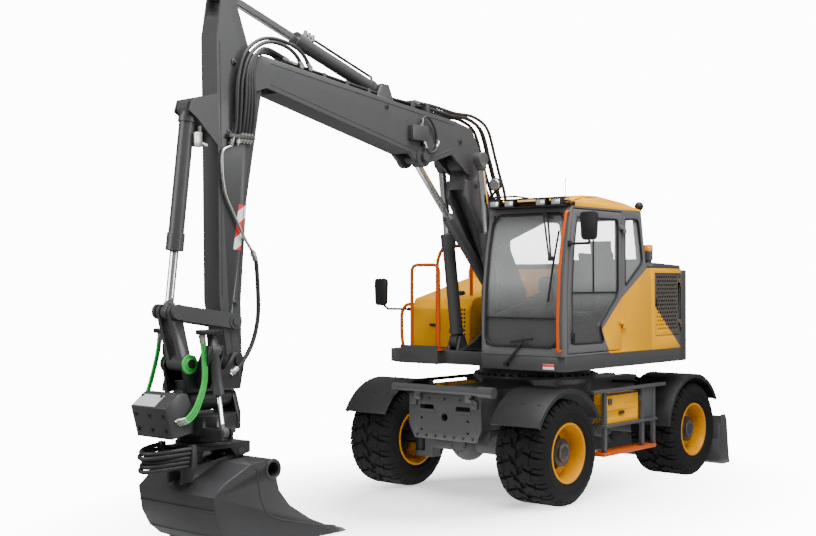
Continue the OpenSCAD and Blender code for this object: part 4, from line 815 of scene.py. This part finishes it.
# Wipers: a long blade on two parallel arms from the top of the windscreen, and a short one low on the front.
# Spring steel arms in black carry rubber blades.
wiper = bmesh.new()
for y, y_low in ((0.945, 1.072), (0.992, 1.094)):
    add_rod(wiper, (screen_x(2.87, -0.030), y, 2.87), (screen_x(2.43, -0.034), y_low, 2.43), 0.010, sides=10)
add_rod(wiper, (screen_x(2.86, -0.010), 0.968, 2.86), (screen_x(2.86, -0.040), 0.968, 2.86), 0.030, sides=16)
add_box(wiper, (screen_x(2.43, -0.022), 1.062, 2.40), (screen_x(2.43, -0.044), 1.122, 2.45), 0.005)
for a, b, thick, end, sides in (
        ((screen_x(2.70, -0.026), 1.150, 2.70), (screen_x(2.43, -0.026), 1.122, 2.40), 0.010, 0.010, 10),
        ((screen_x(2.43, -0.026), 1.122, 2.40), (screen_x(2.00, -0.026), 1.085, 2.00), 0.011, 0.011, 10),
        ((1.330, 0.58, 1.375), (1.362, 0.58, 1.375), 0.024, 0.024, 24),
        ((1.356, 0.58, 1.375), (1.352, 0.70, 1.500), 0.014, 0.012, 12),
        ((1.352, 0.70, 1.500), (1.350, 0.80, 1.612), 0.010, 0.010, 10),
        ((1.345, 0.64, 1.598), (1.345, 0.90, 1.636), 0.010, 0.010, 10)):
    add_rod(wiper, a, b, thick, end, sides)
fit_form("wipers", wiper, black_plastic, "upper")

# Roof lamps: four square work lamps in black housings between two visors, each with a bright faceted face.
# A curved grab bar runs over them, and a thin whip aerial stands on the roof.
ground_edges(black_plastic, 0.005, "cab_lamps")
lamp_glass = lens_finish("lamp_glass", (0.80, 0.81, 0.82), (0.50, 0.52, 0.54), lambda place: place.cells(70.0),
                         (0.08, 0.2), (0.5, 0.002), Metallic=0.75)
fit_made("lamp_faces", add_box, [((1.264, y - 0.050, 2.957), (1.272, y + 0.050, 3.011), 0.004)
                                 for y in (0.382, 0.562, 0.945, 1.125)], lamp_glass, "upper")
fit_made("roof_visor", add_plate, [
    ([(1.17, 2.950), (1.285, 2.938), (1.287, 2.946), (1.18, 2.962)], 0.30, 1.21, 1, 0.002),
    ([(1.10, 3.028), (1.262, 3.026), (1.262, 3.033), (1.10, 3.040)], 0.33, 1.18, 1, 0.002)],
    black_plastic, "upper")
tubes("roof_bar", [filleted([(1.10, 0.33, 3.03), (1.22, 0.30, 3.06), (1.22, 0.62, 3.06), (1.12, 0.70, 3.04)], 0.05)],
      0.010, dark_steel, "upper")
tubes("aerial", [[(1.06, 1.10, 2.99), (1.06, 1.10, 3.06)], [(1.06, 1.10, 3.05), (1.055, 1.10, 3.235)]], 0.0045,
      black_plastic, "upper", 8)

# Handrails: bent tube in orange enamel round the right platform and up the cab's left front pillar.
# Flanged feet are bolted to the deck.
deck_top, loop_x, back_x, back_y, pillar_y = 1.4655, 1.15, 1.08, -0.52, 1.219
loop_rail = [(loop_x, y, z) for y, z in ((-0.82, deck_top), (-0.82, 2.38), (-0.445, 2.38), (-0.445, deck_top))]
back_rail = [(x, back_y, z) for x, z in ((back_x, deck_top), (back_x, 2.42), (1.01, 2.54), (0.92, 2.59), (0.54, 2.59),
                                         (0.48, 2.51), (0.48, 2.046))]
outer_rail = [(loop_x, y, z) for y, z in ((-0.94, deck_top), (-0.965, 1.62), (-0.965, 1.87), (-0.90, 1.95),
                                          (-0.82, 1.955))]
pillar_rail = [(x, pillar_y, z) for x, z in ((1.332, 1.525), (1.38, 1.525), (1.38, 1.85), (1.354, 2.26), (1.298, 2.60),
                                             (1.222, 2.885), (1.183, 2.885))]
for name, paths, radius in (
        ("platform_rails", [filleted(loop_rail, 0.085, each=8), filleted(back_rail, 0.07, each=6),
                            filleted(outer_rail, 0.07, each=6)], 0.019),
        ("pillar_rail", [filleted(pillar_rail, 0.035, each=6)], 0.015)):
    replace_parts(tubes(name, paths, radius, orange_enamel, "upper", 20), "handrails")
rail_feet = bmesh.new()
for x, y in ((loop_x, -0.82), (loop_x, -0.445), (back_x, back_y), (loop_x, -0.94)):
    add_rod(rail_feet, (x, y, 1.464), (x, y, 1.474), 0.045)
    for turn in (0.8, 2.9, 5.0):
        hexagon_head(rail_feet, (x + 0.034 * math.cos(turn), y + 0.034 * math.sin(turn), 1.474), (0, 0, 1), 0.012)
fit_form("rail_feet", rail_feet, orange_enamel, "upper")

# Mirrors: black shells on bent arms, rounded at their corners, with silvered glass facing the seat.
# They stand for the plain mirror solids, on the same arms.
mirror_glass = plated_steel("mirror_glass", (0.72, 0.74, 0.76), 0.10)
shells, faces = bmesh.new(), bmesh.new()
for y0, y1, z0, z1, x0, x1 in ((1.395, 1.595, 2.600, 2.895, 1.225, 1.264), (-1.335, -1.150, 1.935, 2.255, 1.150, 1.195)):
    inset, mid_y, mid_z = 0.08 * (y1 - y0), (y0 + y1) / 2, (z0 + z1) / 2
    corners = [(0, y0 + inset, z0), (0, y1 - inset, z0), (0, y1, z1 - 0.02), (0, y0, z1 - 0.02)]
    outline = [(y, z) for x, y, z in filleted(corners, 0.045, True)]
    add_plate(shells, outline, x0 + 0.006, x1, axis=0, bevel=0.008)
    inner = [((y - mid_y) * 0.86 + mid_y, (z - mid_z) * 0.90 + mid_z) for y, z in outline]
    add_plate(faces, inner, x0 + 0.001, x0 + 0.008, axis=0)
for a, b in (((1.23, 1.257, 2.57), (1.246, 1.495, 2.57)), ((1.246, 1.495, 2.57), (1.246, 1.495, 2.64)),
             ((1.15, -0.85, 1.90), (1.17, -1.15, 1.90)), ((1.17, -1.15, 1.90), (1.172, -1.235, 1.96))):
    add_rod(shells, a, b, 0.013, sides=16)
add_box(shells, (1.205, 1.2453, 2.54), (1.245, 1.269, 2.60), 0.005)
add_box(shells, (1.13, -0.87, 1.88), (1.17, -0.8393, 1.92), 0.005)
fit_form("mirror_shells", shells, black_plastic, "upper", ("mirrors",))
fit_form("mirror_faces", faces, mirror_glass, "upper")

# Seat: a sprung base with a sewn cushion and back in dark cloth, between two consoles with a lever on each.
# The pads are crowned foam under cloth with sewn channels; the consoles and the steering wheel are moulded.
seat_y = 0.7835
cloth, cloth_shader, cloth_place = new_finish("seat_cloth")
weave, faded = cloth_place.bands("X", 260.0).most(cloth_place.bands("Y", 260.0)), cloth_place.noise(7.0, 4.0)
join_up(cloth_shader, (0.35, 0.001, weave), Roughness=0.8 + 0.15 * faded, Sheen_Weight=0.3,
        Base_Color=(0.5 * weave + 0.5 * faded).mixed(colour(0.018, 0.018, 0.020), colour(0.055, 0.055, 0.060)))


def sewn_pad(name, middle, half, lean_deg, channels):
    """A crowned pad with sewn channels: its sides pull in between the corners."""
    pad = bmesh.new()
    bmesh.ops.create_cube(pad, size=2.0)
    bmesh.ops.subdivide_edges(pad, edges=list(pad.edges), cuts=15, use_grid_fill=True)
    for v in pad.verts:
        u, w, t = v.co
        crown, waist = 1.0 - 0.30 * max(abs(u), abs(w)) ** 4, 1.0 - 0.10 * t * t
        sewn = sum(math.exp(-((u - c) / 0.05) ** 2) for c in channels) + math.exp(-((abs(w) - 0.62) / 0.05) ** 2)
        v.co = (u * (1.0 - 0.05 * (1.0 - w * w)) * waist * half[0], w * (1.0 - 0.05 * (1.0 - u * u)) * waist * half[1],
                t * crown * half[2] - (0.010 * sewn if t > 0.5 else 0.0))
    lean = Matrix.Rotation(math.radians(lean_deg), 4, "Y")
    bmesh.ops.transform(pad, matrix=Matrix.Translation(middle) @ lean, verts=pad.verts)
    piece = fit_form(name, pad, cloth, "upper", ("seat",), 60.0)
    rounds = piece.modifiers.new("soften", "SUBSURF")
    rounds.levels = rounds.render_levels = 1


sewn_pad("seat_cushion", (0.245, seat_y, 1.826), (0.29, 0.235, 0.062), -3, (-0.35, 0.25))
sewn_pad("seat_back", (-0.062, seat_y, 2.185), (0.335, 0.215, 0.058), -82, (-0.3, 0.2))
sewn_pad("head_rest", (-0.123, seat_y, 2.565), (0.075, 0.13, 0.045), -82, ())
cabin = bmesh.new()
add_box(cabin, (0.05, seat_y - 0.19, 1.512), (0.42, seat_y + 0.19, 1.600), 0.02)
add_box(cabin, (0.08, seat_y - 0.16, 1.595), (0.40, seat_y + 0.16, 1.770), 0.03)
for y in (seat_y - 0.285, seat_y + 0.285):
    add_box(cabin, (0.065, y - 0.043, 1.946), (0.468, y + 0.043, 2.020), 0.025, 3)
    add_box(cabin, (0.10, y - 0.035, 1.70), (0.22, y + 0.035, 1.95), 0.012)
    add_rod(cabin, (0.41, y, 2.018), (0.41, y, 2.075), 0.030, 0.020)
    add_rod(cabin, (0.41, y, 2.070), (0.422, y, 2.160), 0.019, 0.026)
    add_rod(cabin, (0.422, y, 2.158), (0.424, y, 2.173), 0.026, 0.016)
add_box(cabin, (0.335, 0.312, 1.505), (0.755, 0.469, 1.925), 0.03, 3)
add_rod(cabin, (0.855, seat_y, 1.535), (0.755, seat_y, 2.195), 0.042, 0.032)
add_box(cabin, (0.90, seat_y - 0.10, 2.10), (0.93, seat_y + 0.10, 2.22), 0.012)
add_rod(cabin, (0.80, seat_y, 2.08), (0.91, seat_y, 2.14), 0.014)
fit_form("cab_controls", cabin, black_plastic, "upper", ("seat",))
wheel_tilt = Matrix.Translation((0.75, seat_y, 2.204)) @ Matrix.Rotation(math.radians(-12), 4, "Y")


def on_wheel(radius, turn, rise=0.0):
    """A place on the tilted steering wheel."""
    return wheel_tilt @ Vector((radius * math.cos(turn), radius * math.sin(turn), rise))


tubes("steering_rim", [[on_wheel(0.165, k * math.pi / 18) for k in range(36)]], 0.014, black_plastic, "upper",
      closed=True)
tubes("steering_spokes", [[on_wheel(0.0, 0.0, -0.01), on_wheel(0.163, turn)] for turn in (0.5, 2.6, 4.7)], 0.011,
      black_plastic, "upper", 10)

# Boom and stick: welded box sections of plate, the boom in two pieces joined at a knee pin, with bosses at the pins.
# Weld seams run along the plate edges, and a keeper plate with a bolt holds each pin.
ground_edges(charcoal_enamel, 0.008, "base_boom", "upper_boom", "stick")
boom_middle, boom_left, boom_right, stick_left, stick_right = -0.09, 0.0402, -0.2202, 0.0102, -0.1902
sunk = 0.0007


def keepers(name, spots, left, right, body):
    """Pin keepers: a small plate with one hexagon head, beside each pin on both faces."""
    form, half, thick = bmesh.new(), 0.022, 0.010
    for x, z in spots:
        for y, way in ((left, 1), (right, -1)):
            add_box(form, (x - half, y, z - half), (x + half, y + way * thick, z + half), 0.003)
            hexagon_head(form, (x, y + way * thick, z), (0, way, 0), 0.022)
    fit_form(name, form, dark_steel, body)


def weld_seams(name, lines, left, right, body):
    """Weld beads along lines of the plates, half sunk in both faces."""
    tubes(name, [eased([(x, y, z) for x, z in line], 4) for line in lines for y in (left - sunk, right + sunk)], 0.005,
          charcoal_enamel, body, sides=8)


keepers("base_keepers", [(1.13, 3.20), (0.36, 2.02)], boom_left, boom_right, "base_boom")
keepers("upper_keepers", [(1.40, 3.64), (1.99, 3.56), (2.54, 3.88)], boom_left, boom_right, "upper_boom")
keepers("stick_keepers", [(4.45, 4.05), (4.50, 3.45), (4.43, 2.02)], stick_left, stick_right, "stick")
weld_seams("boom_seams", ([(4.05, 4.085), (2.342, 3.895), (1.50, 3.805)],
                          [(4.05, 3.905), (2.20, 3.515), (2.10, 3.455), (1.92, 3.43), (1.55, 3.545)]),
           boom_left, boom_right, "upper_boom")
weld_seams("base_seams", ([(0.27, 2.09), (0.96, 3.15)], [(0.44, 1.90), (0.74, 2.36), (1.24, 3.08)]),
           boom_left, boom_right, "base_boom")
weld_seams("stick_seams", ([(4.19, 3.60), (4.325, 2.88), (4.39, 2.05)], [(4.60, 4.20), (4.587, 3.54), (4.567, 2.08)]),
           stick_left, stick_right, "stick")

# Hydraulic cylinders: honed steel barrels in charcoal enamel with a bolted gland, and hard chromed rods.
# Each rod ends in a forged eye that is painted like the barrel.
ground_edges(charcoal_enamel, 0.004, "lift_barrels", "adjust_barrel", "arm_barrel", "bucket_barrel", "tilt_barrel_l",
             "tilt_barrel_r")


def rod_finish(name, eye, reach):
    """Polished hard chrome, faintly clouded, and a painted eye round its pin."""
    material, shader, place = new_finish(name)
    flat = place.add("VectorMath", {"operation": "MULTIPLY"}, {0: place, 1: (1.0, 0.0, 1.0)})
    away = place.add("VectorMath", {"operation": "DISTANCE"}, {0: flat, 1: (eye[0], 0.0, eye[1])}, out="Value")
    bare, cloud = away.above(reach), place.noise(40.0, 3.0)
    steel = cloud.mixed(colour(0.66, 0.67, 0.68), colour(0.86, 0.86, 0.86))
    join_up(shader, (0.05, 0.0003, cloud), Base_Color=bare.mixed(colour(*charcoal), steel), Metallic=bare,
            Roughness=0.46 - 0.34 * bare + 0.06 * cloud)
    return material


for node, eye, reach in (("lift_rods", (1.222, 3.46), 0.12), ("adjust_rod", (1.99, 3.44), 0.105),
                         ("arm_rod", (4.50, 4.64), 0.115), ("bucket_rod", (4.995, 1.955), 0.12),
                         ("tilt_rod_l", (4.80, 0.985), 0.075), ("tilt_rod_r", (4.80, 0.985), 0.075)):
    ground_edges(rod_finish(node + "_chrome", eye, reach), 0.002, node)


# Hoses and pipes: black rubber hoses with crimped zinc ends, and steel pipes clamped along the boom and the stick.
# Where a hose crosses a joint it hangs in a loop.
def hose_cover(name, low, high, patch, rough):
    """A hose's outer rubber: scuffed in patches, with the print of its wrapping."""
    material, shader, place = new_finish(name)
    scuff = place.noise(patch, 4.0)
    join_up(shader, (0.25, 0.0008, place.noise(420.0)), Base_Color=scuff.mixed(colour(*low), colour(*high)),
            Roughness=rough + 0.2 * scuff)
    return material


hose_rubber = hose_cover("hose_rubber", (0.010, 0.010, 0.011), (0.030, 0.030, 0.031), 9.0, 0.42)
zinc = plated_steel("zinc_plate", (0.58, 0.57, 0.53), 0.32)


def hose_ends(name, ends, radius, body):
    """Crimped ferrules and hexagon nuts on hose ends, each given by its end and a point before it."""
    form = bmesh.new()
    for tip, before in ends:
        tip, back = Vector(tip), (Vector(before) - Vector(tip)).normalized()
        add_rod(form, tip + back * 0.02, tip + back * 0.075, radius * 1.22, radius * 1.18, 16)
        add_rod(form, tip + back * 0.004, tip + back * 0.030, radius * 1.45, sides=6)
        add_rod(form, tip - back * 0.012, tip + back * 0.006, radius, sides=12)
    fit_form(name, form, zinc, body)


def hose_bundle(name, runs, radius, finish, bodies, span=None):
    """Hoses along several runs, on one body, or, given a span, fixed where they stand on no body, with fittings on both
    ends.
    """
    tubes(name, [eased(run, 7) for run in runs], radius, finish, bodies if span else bodies[0],
          span=span)
    hose_ends(name + "_first_ends", [(run[0], run[1]) for run in runs], radius, bodies[0])
    hose_ends(name + "_last_ends", [(run[-1], run[-2]) for run in runs], radius, bodies[-1])


knee_run = [(0.50, 2.52), (0.50, 2.75), (0.572, 3.114), (0.660, 3.306), (0.745, 3.498), (0.890, 3.800), (1.141, 3.905),
            (1.45, 3.910), (1.80, 3.945), (2.10, 3.955)]
hose_bundle("knee_hoses", [[(x - 0.03 * (k % 2), -0.165 + 0.05 * k, z + 0.025 * (k % 2)) for x, z in knee_run]
                           for k in range(4)], 0.017, hose_rubber, ("base_boom", "upper_boom"),
            ((0.78, boom_middle, 3.50), (1.14, boom_middle, 3.86)))
foot_run = [(0.50, 0.105, 1.466), (0.53, 0.112, 1.62), (0.57, 0.108, 1.86), (0.64, 0.095, 2.06), (0.73, 0.075, 2.24),
            (0.82, 0.058, 2.40), (0.90, 0.053, 2.54)]
hose_bundle("foot_hoses", [[(x + 0.045 * k, y + 0.012 * (k % 2), z - 0.03 * k * (i > 2))
                            for i, (x, y, z) in enumerate(foot_run)] for k in range(4)], 0.015, hose_rubber,
            ("upper", "base_boom"), ((0.56, 0.0, 1.62), (0.62, 0.0, 2.02)))
fit_made("foot_clamp", add_plate, [([(0.84, 2.53), (1.00, 2.37), (1.03, 2.40), (0.87, 2.56)], boom_left - sunk, 0.080, 1,
                                    0.004)], charcoal_enamel, "base_boom")
clip_step, clip_rise = 0.3, 0.03465
fit_made("boom_clamps", add_box, [
    ((1.86, -0.20, 3.885), (1.91, 0.02, 3.985), 0.006), ((2.09, -0.20, 3.905), (2.15, 0.02, 3.985), 0.006),
    ((1.98, boom_left - sunk, 3.585), (2.22, 0.105, 3.735), 0.008),
    *(((2.45 + clip_step * k, -0.075, 3.935 + clip_rise * k), (2.49 + clip_step * k, 0.030, 3.990 + clip_rise * k), 0.004)
      for k in range(5))], charcoal_enamel, "upper_boom")
fit_made("base_clamp", add_plate, [([(0.44, 2.40), (0.56, 2.58), (0.53, 2.60), (0.41, 2.42)], -0.20, 0.02, 1, 0.004)],
         charcoal_enamel, "base_boom")
pipe_lines = 0.008, -0.025, -0.058
tubes("boom_pipes", [filleted([(2.12, y, 3.955), (2.40, y, 3.970), (3.60, y, 4.108), (3.74, y, 4.130)], 0.08)
                     for y in pipe_lines], 0.012, dark_steel, "upper_boom")
pipe_nuts = bmesh.new()
for y in pipe_lines:
    add_rod(pipe_nuts, (3.70, y, 4.123), (3.78, y, 4.136), 0.018, sides=6)
    add_rod(pipe_nuts, (3.77, y, 4.134), (3.83, y, 4.145), 0.014, sides=12)
fit_form("pipe_nuts", pipe_nuts, zinc, "upper_boom")
hose_bundle("block_hoses", [[(2.06, 0.075, 3.735), (2.055, 0.085, 3.80), (1.97, 0.085, 3.83), (1.86, 0.075, 3.74),
                             (1.80, 0.060, 3.62), (1.78, 0.046, 3.56)],
                            [(2.02, 0.075, 3.588), (2.00, 0.085, 3.53), (1.94, 0.085, 3.478), (1.84, 0.075, 3.51),
                             (1.76, 0.046, 3.60)]], 0.013, hose_rubber, ("upper_boom",))
elbow_runs = [[(3.55, 0.030, 4.10), (3.66, 0.045, 4.21), (3.80, 0.055, 4.275), (4.05, 0.060, 4.300), (4.24, 0.065, 4.245),
               (4.38, 0.065, 4.11), (4.445, 0.065, 3.90), (4.455, 0.060, 3.68), (4.462, 0.050, 3.48),
               (4.50, 0.035, 3.34)],
              [(3.66, 0.030, 4.11), (3.75, 0.050, 4.19), (3.88, 0.060, 4.250), (4.06, 0.066, 4.265), (4.21, 0.070, 4.215),
               (4.34, 0.072, 4.09), (4.405, 0.072, 3.90), (4.415, 0.066, 3.70), (4.418, 0.050, 3.50),
               (4.425, 0.032, 3.36)]]
for k in range(4):
    d = 0.036 * k
    elbow_runs.append([(3.825, 0.010 - 0.03 * k, 4.146), (3.95, 0.025 - 0.025 * k, 4.180),
                       (4.08, 0.050 - 0.01 * k, 4.200 - 0.01 * k), (4.18, 0.066, 4.185 - 0.01 * k),
                       (4.262 + 0.3 * d, 0.078, 4.10), (4.288 + 0.7 * d, 0.082, 3.95), (4.275 + 0.9 * d, 0.078, 3.76),
                       (4.268 + d, 0.062, 3.58), (4.272 + d, 0.040, 3.45), (4.280 + d, 0.027, 3.38)])
hose_bundle("elbow_hoses", elbow_runs, 0.017, hose_rubber, ("upper_boom", "stick"),
            ((4.10, 0.06, 4.16), (4.42, 0.06, 3.78)))
fit_made("stick_hose_bar", add_box, [((4.245, stick_left - sunk, 3.40), (4.535, 0.062, 3.435), 0.006)], charcoal_enamel,
         "stick")
stick_pipe = [(4.50, 0.035, 3.335), (4.60, 0.036, 3.29), (4.590, 0.036, 3.06), (4.560, 0.036, 2.92),
              (4.448, 0.036, 2.731), (4.340, 0.045, 2.545), (4.275, 0.060, 2.45)]
tubes("stick_pipe", [filleted(stick_pipe, 0.05)], 0.013, zinc, "stick")
hose_bundle("wrist_hose", [[(4.275, 0.060, 2.45), (4.238, 0.062, 2.36), (4.216, 0.065, 2.05), (4.226, 0.065, 1.86),
                            (4.285, 0.062, 1.67), (4.39, 0.055, 1.52), (4.50, 0.048, 1.43)]], 0.019, hose_rubber,
            ("stick", "tilt_frame"), ((4.27, 0.06, 1.72), (4.43, 0.06, 1.48)))
arm_way = Vector((1.96, 0, 0.605)).normalized()
arm_up = Vector((-arm_way.z, 0, arm_way.x))


def by_arm(along, rise):
    """A place beside the stick cylinder, so far along it and above its middle."""
    return Vector((2.54, boom_middle + 0.030, 4.035)) + arm_way * along + arm_up * rise


arm_pipe = [by_arm(*spot) for spot in ((0.13, 0.052), (0.13, 0.082), (0.30, 0.082), (0.95, 0.082), (1.08, 0.082),
                                       (1.10, 0.047))]
tubes("arm_pipe", [filleted(arm_pipe, 0.03)], 0.013, dark_steel, "arm_barrel")
fit_made("arm_port", add_rod, [(by_arm(a, 0.055), by_arm(a, 0.118), 0.022, 0.019, 6) for a in (0.97, 1.02, 1.07)], zinc,
         "arm_barrel")
curl_port = bmesh.new()
add_box(curl_port, (4.79, -0.030, 3.30), (4.86, 0.020, 3.42), 0.006)
add_rod(curl_port, (4.80, -0.005, 3.42), (4.80, -0.005, 3.475), 0.018, sides=6)
add_rod(curl_port, (4.79, 0.0, 3.335), (4.735, 0.0, 3.32), 0.017, sides=6)
fit_form("curl_port", curl_port, zinc, "bucket_barrel")
fit_made("boom_lamp", add_rod, [((0.90, boom_left - sunk, 3.06), (0.90, 0.12, 3.15), 0.014, 0.014, 12),
                                ((0.83, 0.13, 3.235), (0.90, 0.13, 3.225), 0.045, 0.072, 28),
                                ((0.90, 0.13, 3.225), (0.925, 0.13, 3.221), 0.072, 0.070, 28),
                                ((0.885, 0.13, 3.14), (0.885, 0.13, 3.19), 0.016, 0.016, 12)], black_plastic, "base_boom")
fit_made("boom_lamp_face", add_rod, [((0.924, 0.13, 3.2215), (0.932, 0.13, 3.220), 0.064, 0.058, 28)], lamp_glass,
         "base_boom")
strip_film = striped_film("strip_film", (0.66, 0.02, 0.015), 2.20, 0.085, (0.55, 0.0, 0.835))
strip_line = [(4.302, 2.845), (4.388, 2.851), (4.448, 2.472), (4.368, 2.460)]
fit_made("stick_strip", add_plate, [(strip_line, stick_left - 0.001, stick_left + 0.002),
                                    (strip_line, stick_right - 0.002, stick_right + 0.001)], strip_film, "stick")

# Wrist linkage and tiltrotator: forged rockers and a link, then a cast head that tilts and turns the coupler.
# Its cylinders stand on both sides, green hoses feed the turning valve block, and spare hose lies in a coil.
rotator_tone = (0.017, 0.017, 0.018)
rotator_black = enamel("rotator_black", rotator_tone, 0.42, 0.06)
rotor_paint = enamel("rotor_paint", rotator_tone, 0.42, 0.06, (0.042, 0.042, 0.044),
                     lambda place: place.axes()[0].above(4.985))
ground_edges(charcoal_enamel, 0.005, "rockers", "hitch_link")
ground_edges(rotator_black, 0.005, "tilt_frame", "coupler")
ground_edges(rotor_paint, 0.005, "rotor")
green_rubber = hose_cover("green_hose", (0.02, 0.40, 0.05), (0.05, 0.58, 0.09), 26.0, 0.40)
near_run = [(4.885, 0.150, 1.774), (4.868, 0.160, 1.60), (4.875, 0.168, 1.38), (4.955, 0.165, 1.17),
            (5.035, 0.155, 1.085), (5.11, 0.131, 1.065)]
far_run = [(4.880, -0.395, 1.774), (4.895, -0.420, 1.58), (4.955, -0.425, 1.37), (5.035, -0.390, 1.225),
           (5.08, -0.311, 1.17)]
green_runs = [[(x + 0.018 * k, y, z + 0.014 * k * (i > 2)) for i, (x, y, z) in enumerate(near_run)] for k in range(3)]
green_runs += [[(x + 0.022 * k, y, z) for x, y, z in far_run] for k in range(2)]
hose_bundle("green_hoses", green_runs, 0.011, green_rubber, ("tilt_frame", "rotor"),
            ((4.87, boom_middle, 1.38), (4.95, boom_middle, 1.20)))
for name, side in (("l", 1), ("r", -1)):
    fit_made("tilt_head_" + name, add_box, [((4.745, boom_middle + side * 0.215, 1.772),
                                             (4.955, boom_middle + side * 0.325, 1.812), 0.010)],
             black_plastic, "tilt_barrel_" + name)
hitch_caps, hitch_x, hitch_z = bmesh.new(), 4.945, 1.53
for y, way in ((0.046, 1), (-0.226, -1)):
    for start, end, r0, r1, sides in ((0.0, 0.010, 0.080, 0.076, 40), (0.009, 0.016, 0.050, 0.044, 32)):
        add_rod(hitch_caps, (hitch_x, y + way * start, hitch_z), (hitch_x, y + way * end, hitch_z), r0, r1, sides)
fit_form("hitch_caps", hitch_caps, green_rubber, "tilt_frame")
fit_made("block_bolts", hexagon_head, [
    *(((x, y, z), (0.963, 0, -0.27), 0.026) for y in (-0.26, -0.09, 0.08) for x, z in ((5.205, 1.02), (5.235, 1.14))),
    *(((5.158, y, 1.281), (0.615, 0, 0.789), 0.020) for y in (-0.275, -0.035))], dark_steel, "rotor")
cover_paint = enamel("cover_paint", (0.60, 0.60, 0.61), 0.40, 0.05, edge_wear_highlight_gain=1.1)
fit_made("block_cover", add_plate, [([(5.246, 1.206), (5.142, 1.287), (5.145, 1.291), (5.249, 1.210)], -0.295, -0.015)],
         cover_paint, "rotor")
coil_runs = []
for k in range(5):
    deep, wide, z = 0.33 + 0.022 * math.sin(2.1 * k), 0.205 - 0.007 * k, 0.862 - 0.035 * k
    coil_runs.append(eased([(4.955 + deep * math.sin(a), boom_middle + wide * math.cos(a), z - 0.03 * math.sin(a) ** 2)
                            for a in [math.pi * j / 10 for j in range(11)]], 6))
tubes("coupler_hoses", coil_runs, 0.018, hose_rubber, "tool")
fit_made("coil_clips", add_box, [((4.935, y - 0.028, 0.690), (4.985, y + 0.028, 0.890), 0.008) for y in (-0.285, 0.105)],
         charcoal_enamel, "tool")


# Bucket: a grading bucket of rolled plate with side cutters, sprayed charcoal, and worn bright along its lip.
# Weld seams run round its sides and along its back.
def lip_mask(place):
    return 1.0 - (place.axes()[0] + 0.05 * place.noise(7.0)).above(3.585, 0.05)


bucket_paint = enamel("bucket_paint", (0.034, 0.0343, 0.036), 0.48, 0.04, (0.10, 0.097, 0.092), lip_mask)
ground_edges(bucket_paint, 0.006, "bucket")
side_seam = [(4.529, 0.678), (4.500, 0.530), (4.471, 0.414), (4.37, 0.277), (4.05, 0.175), (3.60, 0.075)]
seams = [eased([(x, y, z) for x, z in side_seam], 6) for y in (0.3845, -0.5645)]
back_x, back_z, back_r = 4.545, 0.444, 0.4295
for turn in map(math.radians, (-8, -42, -74)):
    x, z = back_x + back_r * math.cos(turn), back_z + back_r * math.sin(turn)
    seams.append([(x, y, z) for y in (-0.56, -0.25, 0.07, 0.38)])
tubes("bucket_seams", seams, 0.006, bucket_paint, "tool", sides=8)
collar_x, collar_z, collar_r = 4.343, 0.652, 0.078
collar_turns = [k * math.pi / 16 for k in range(32)]
tubes("bucket_collars", [[(collar_x + collar_r * math.cos(a), y, collar_z + collar_r * math.sin(a)) for a in collar_turns]
                         for y in (0.385, -0.565)], 0.011, bucket_paint, "tool", sides=8, closed=True)
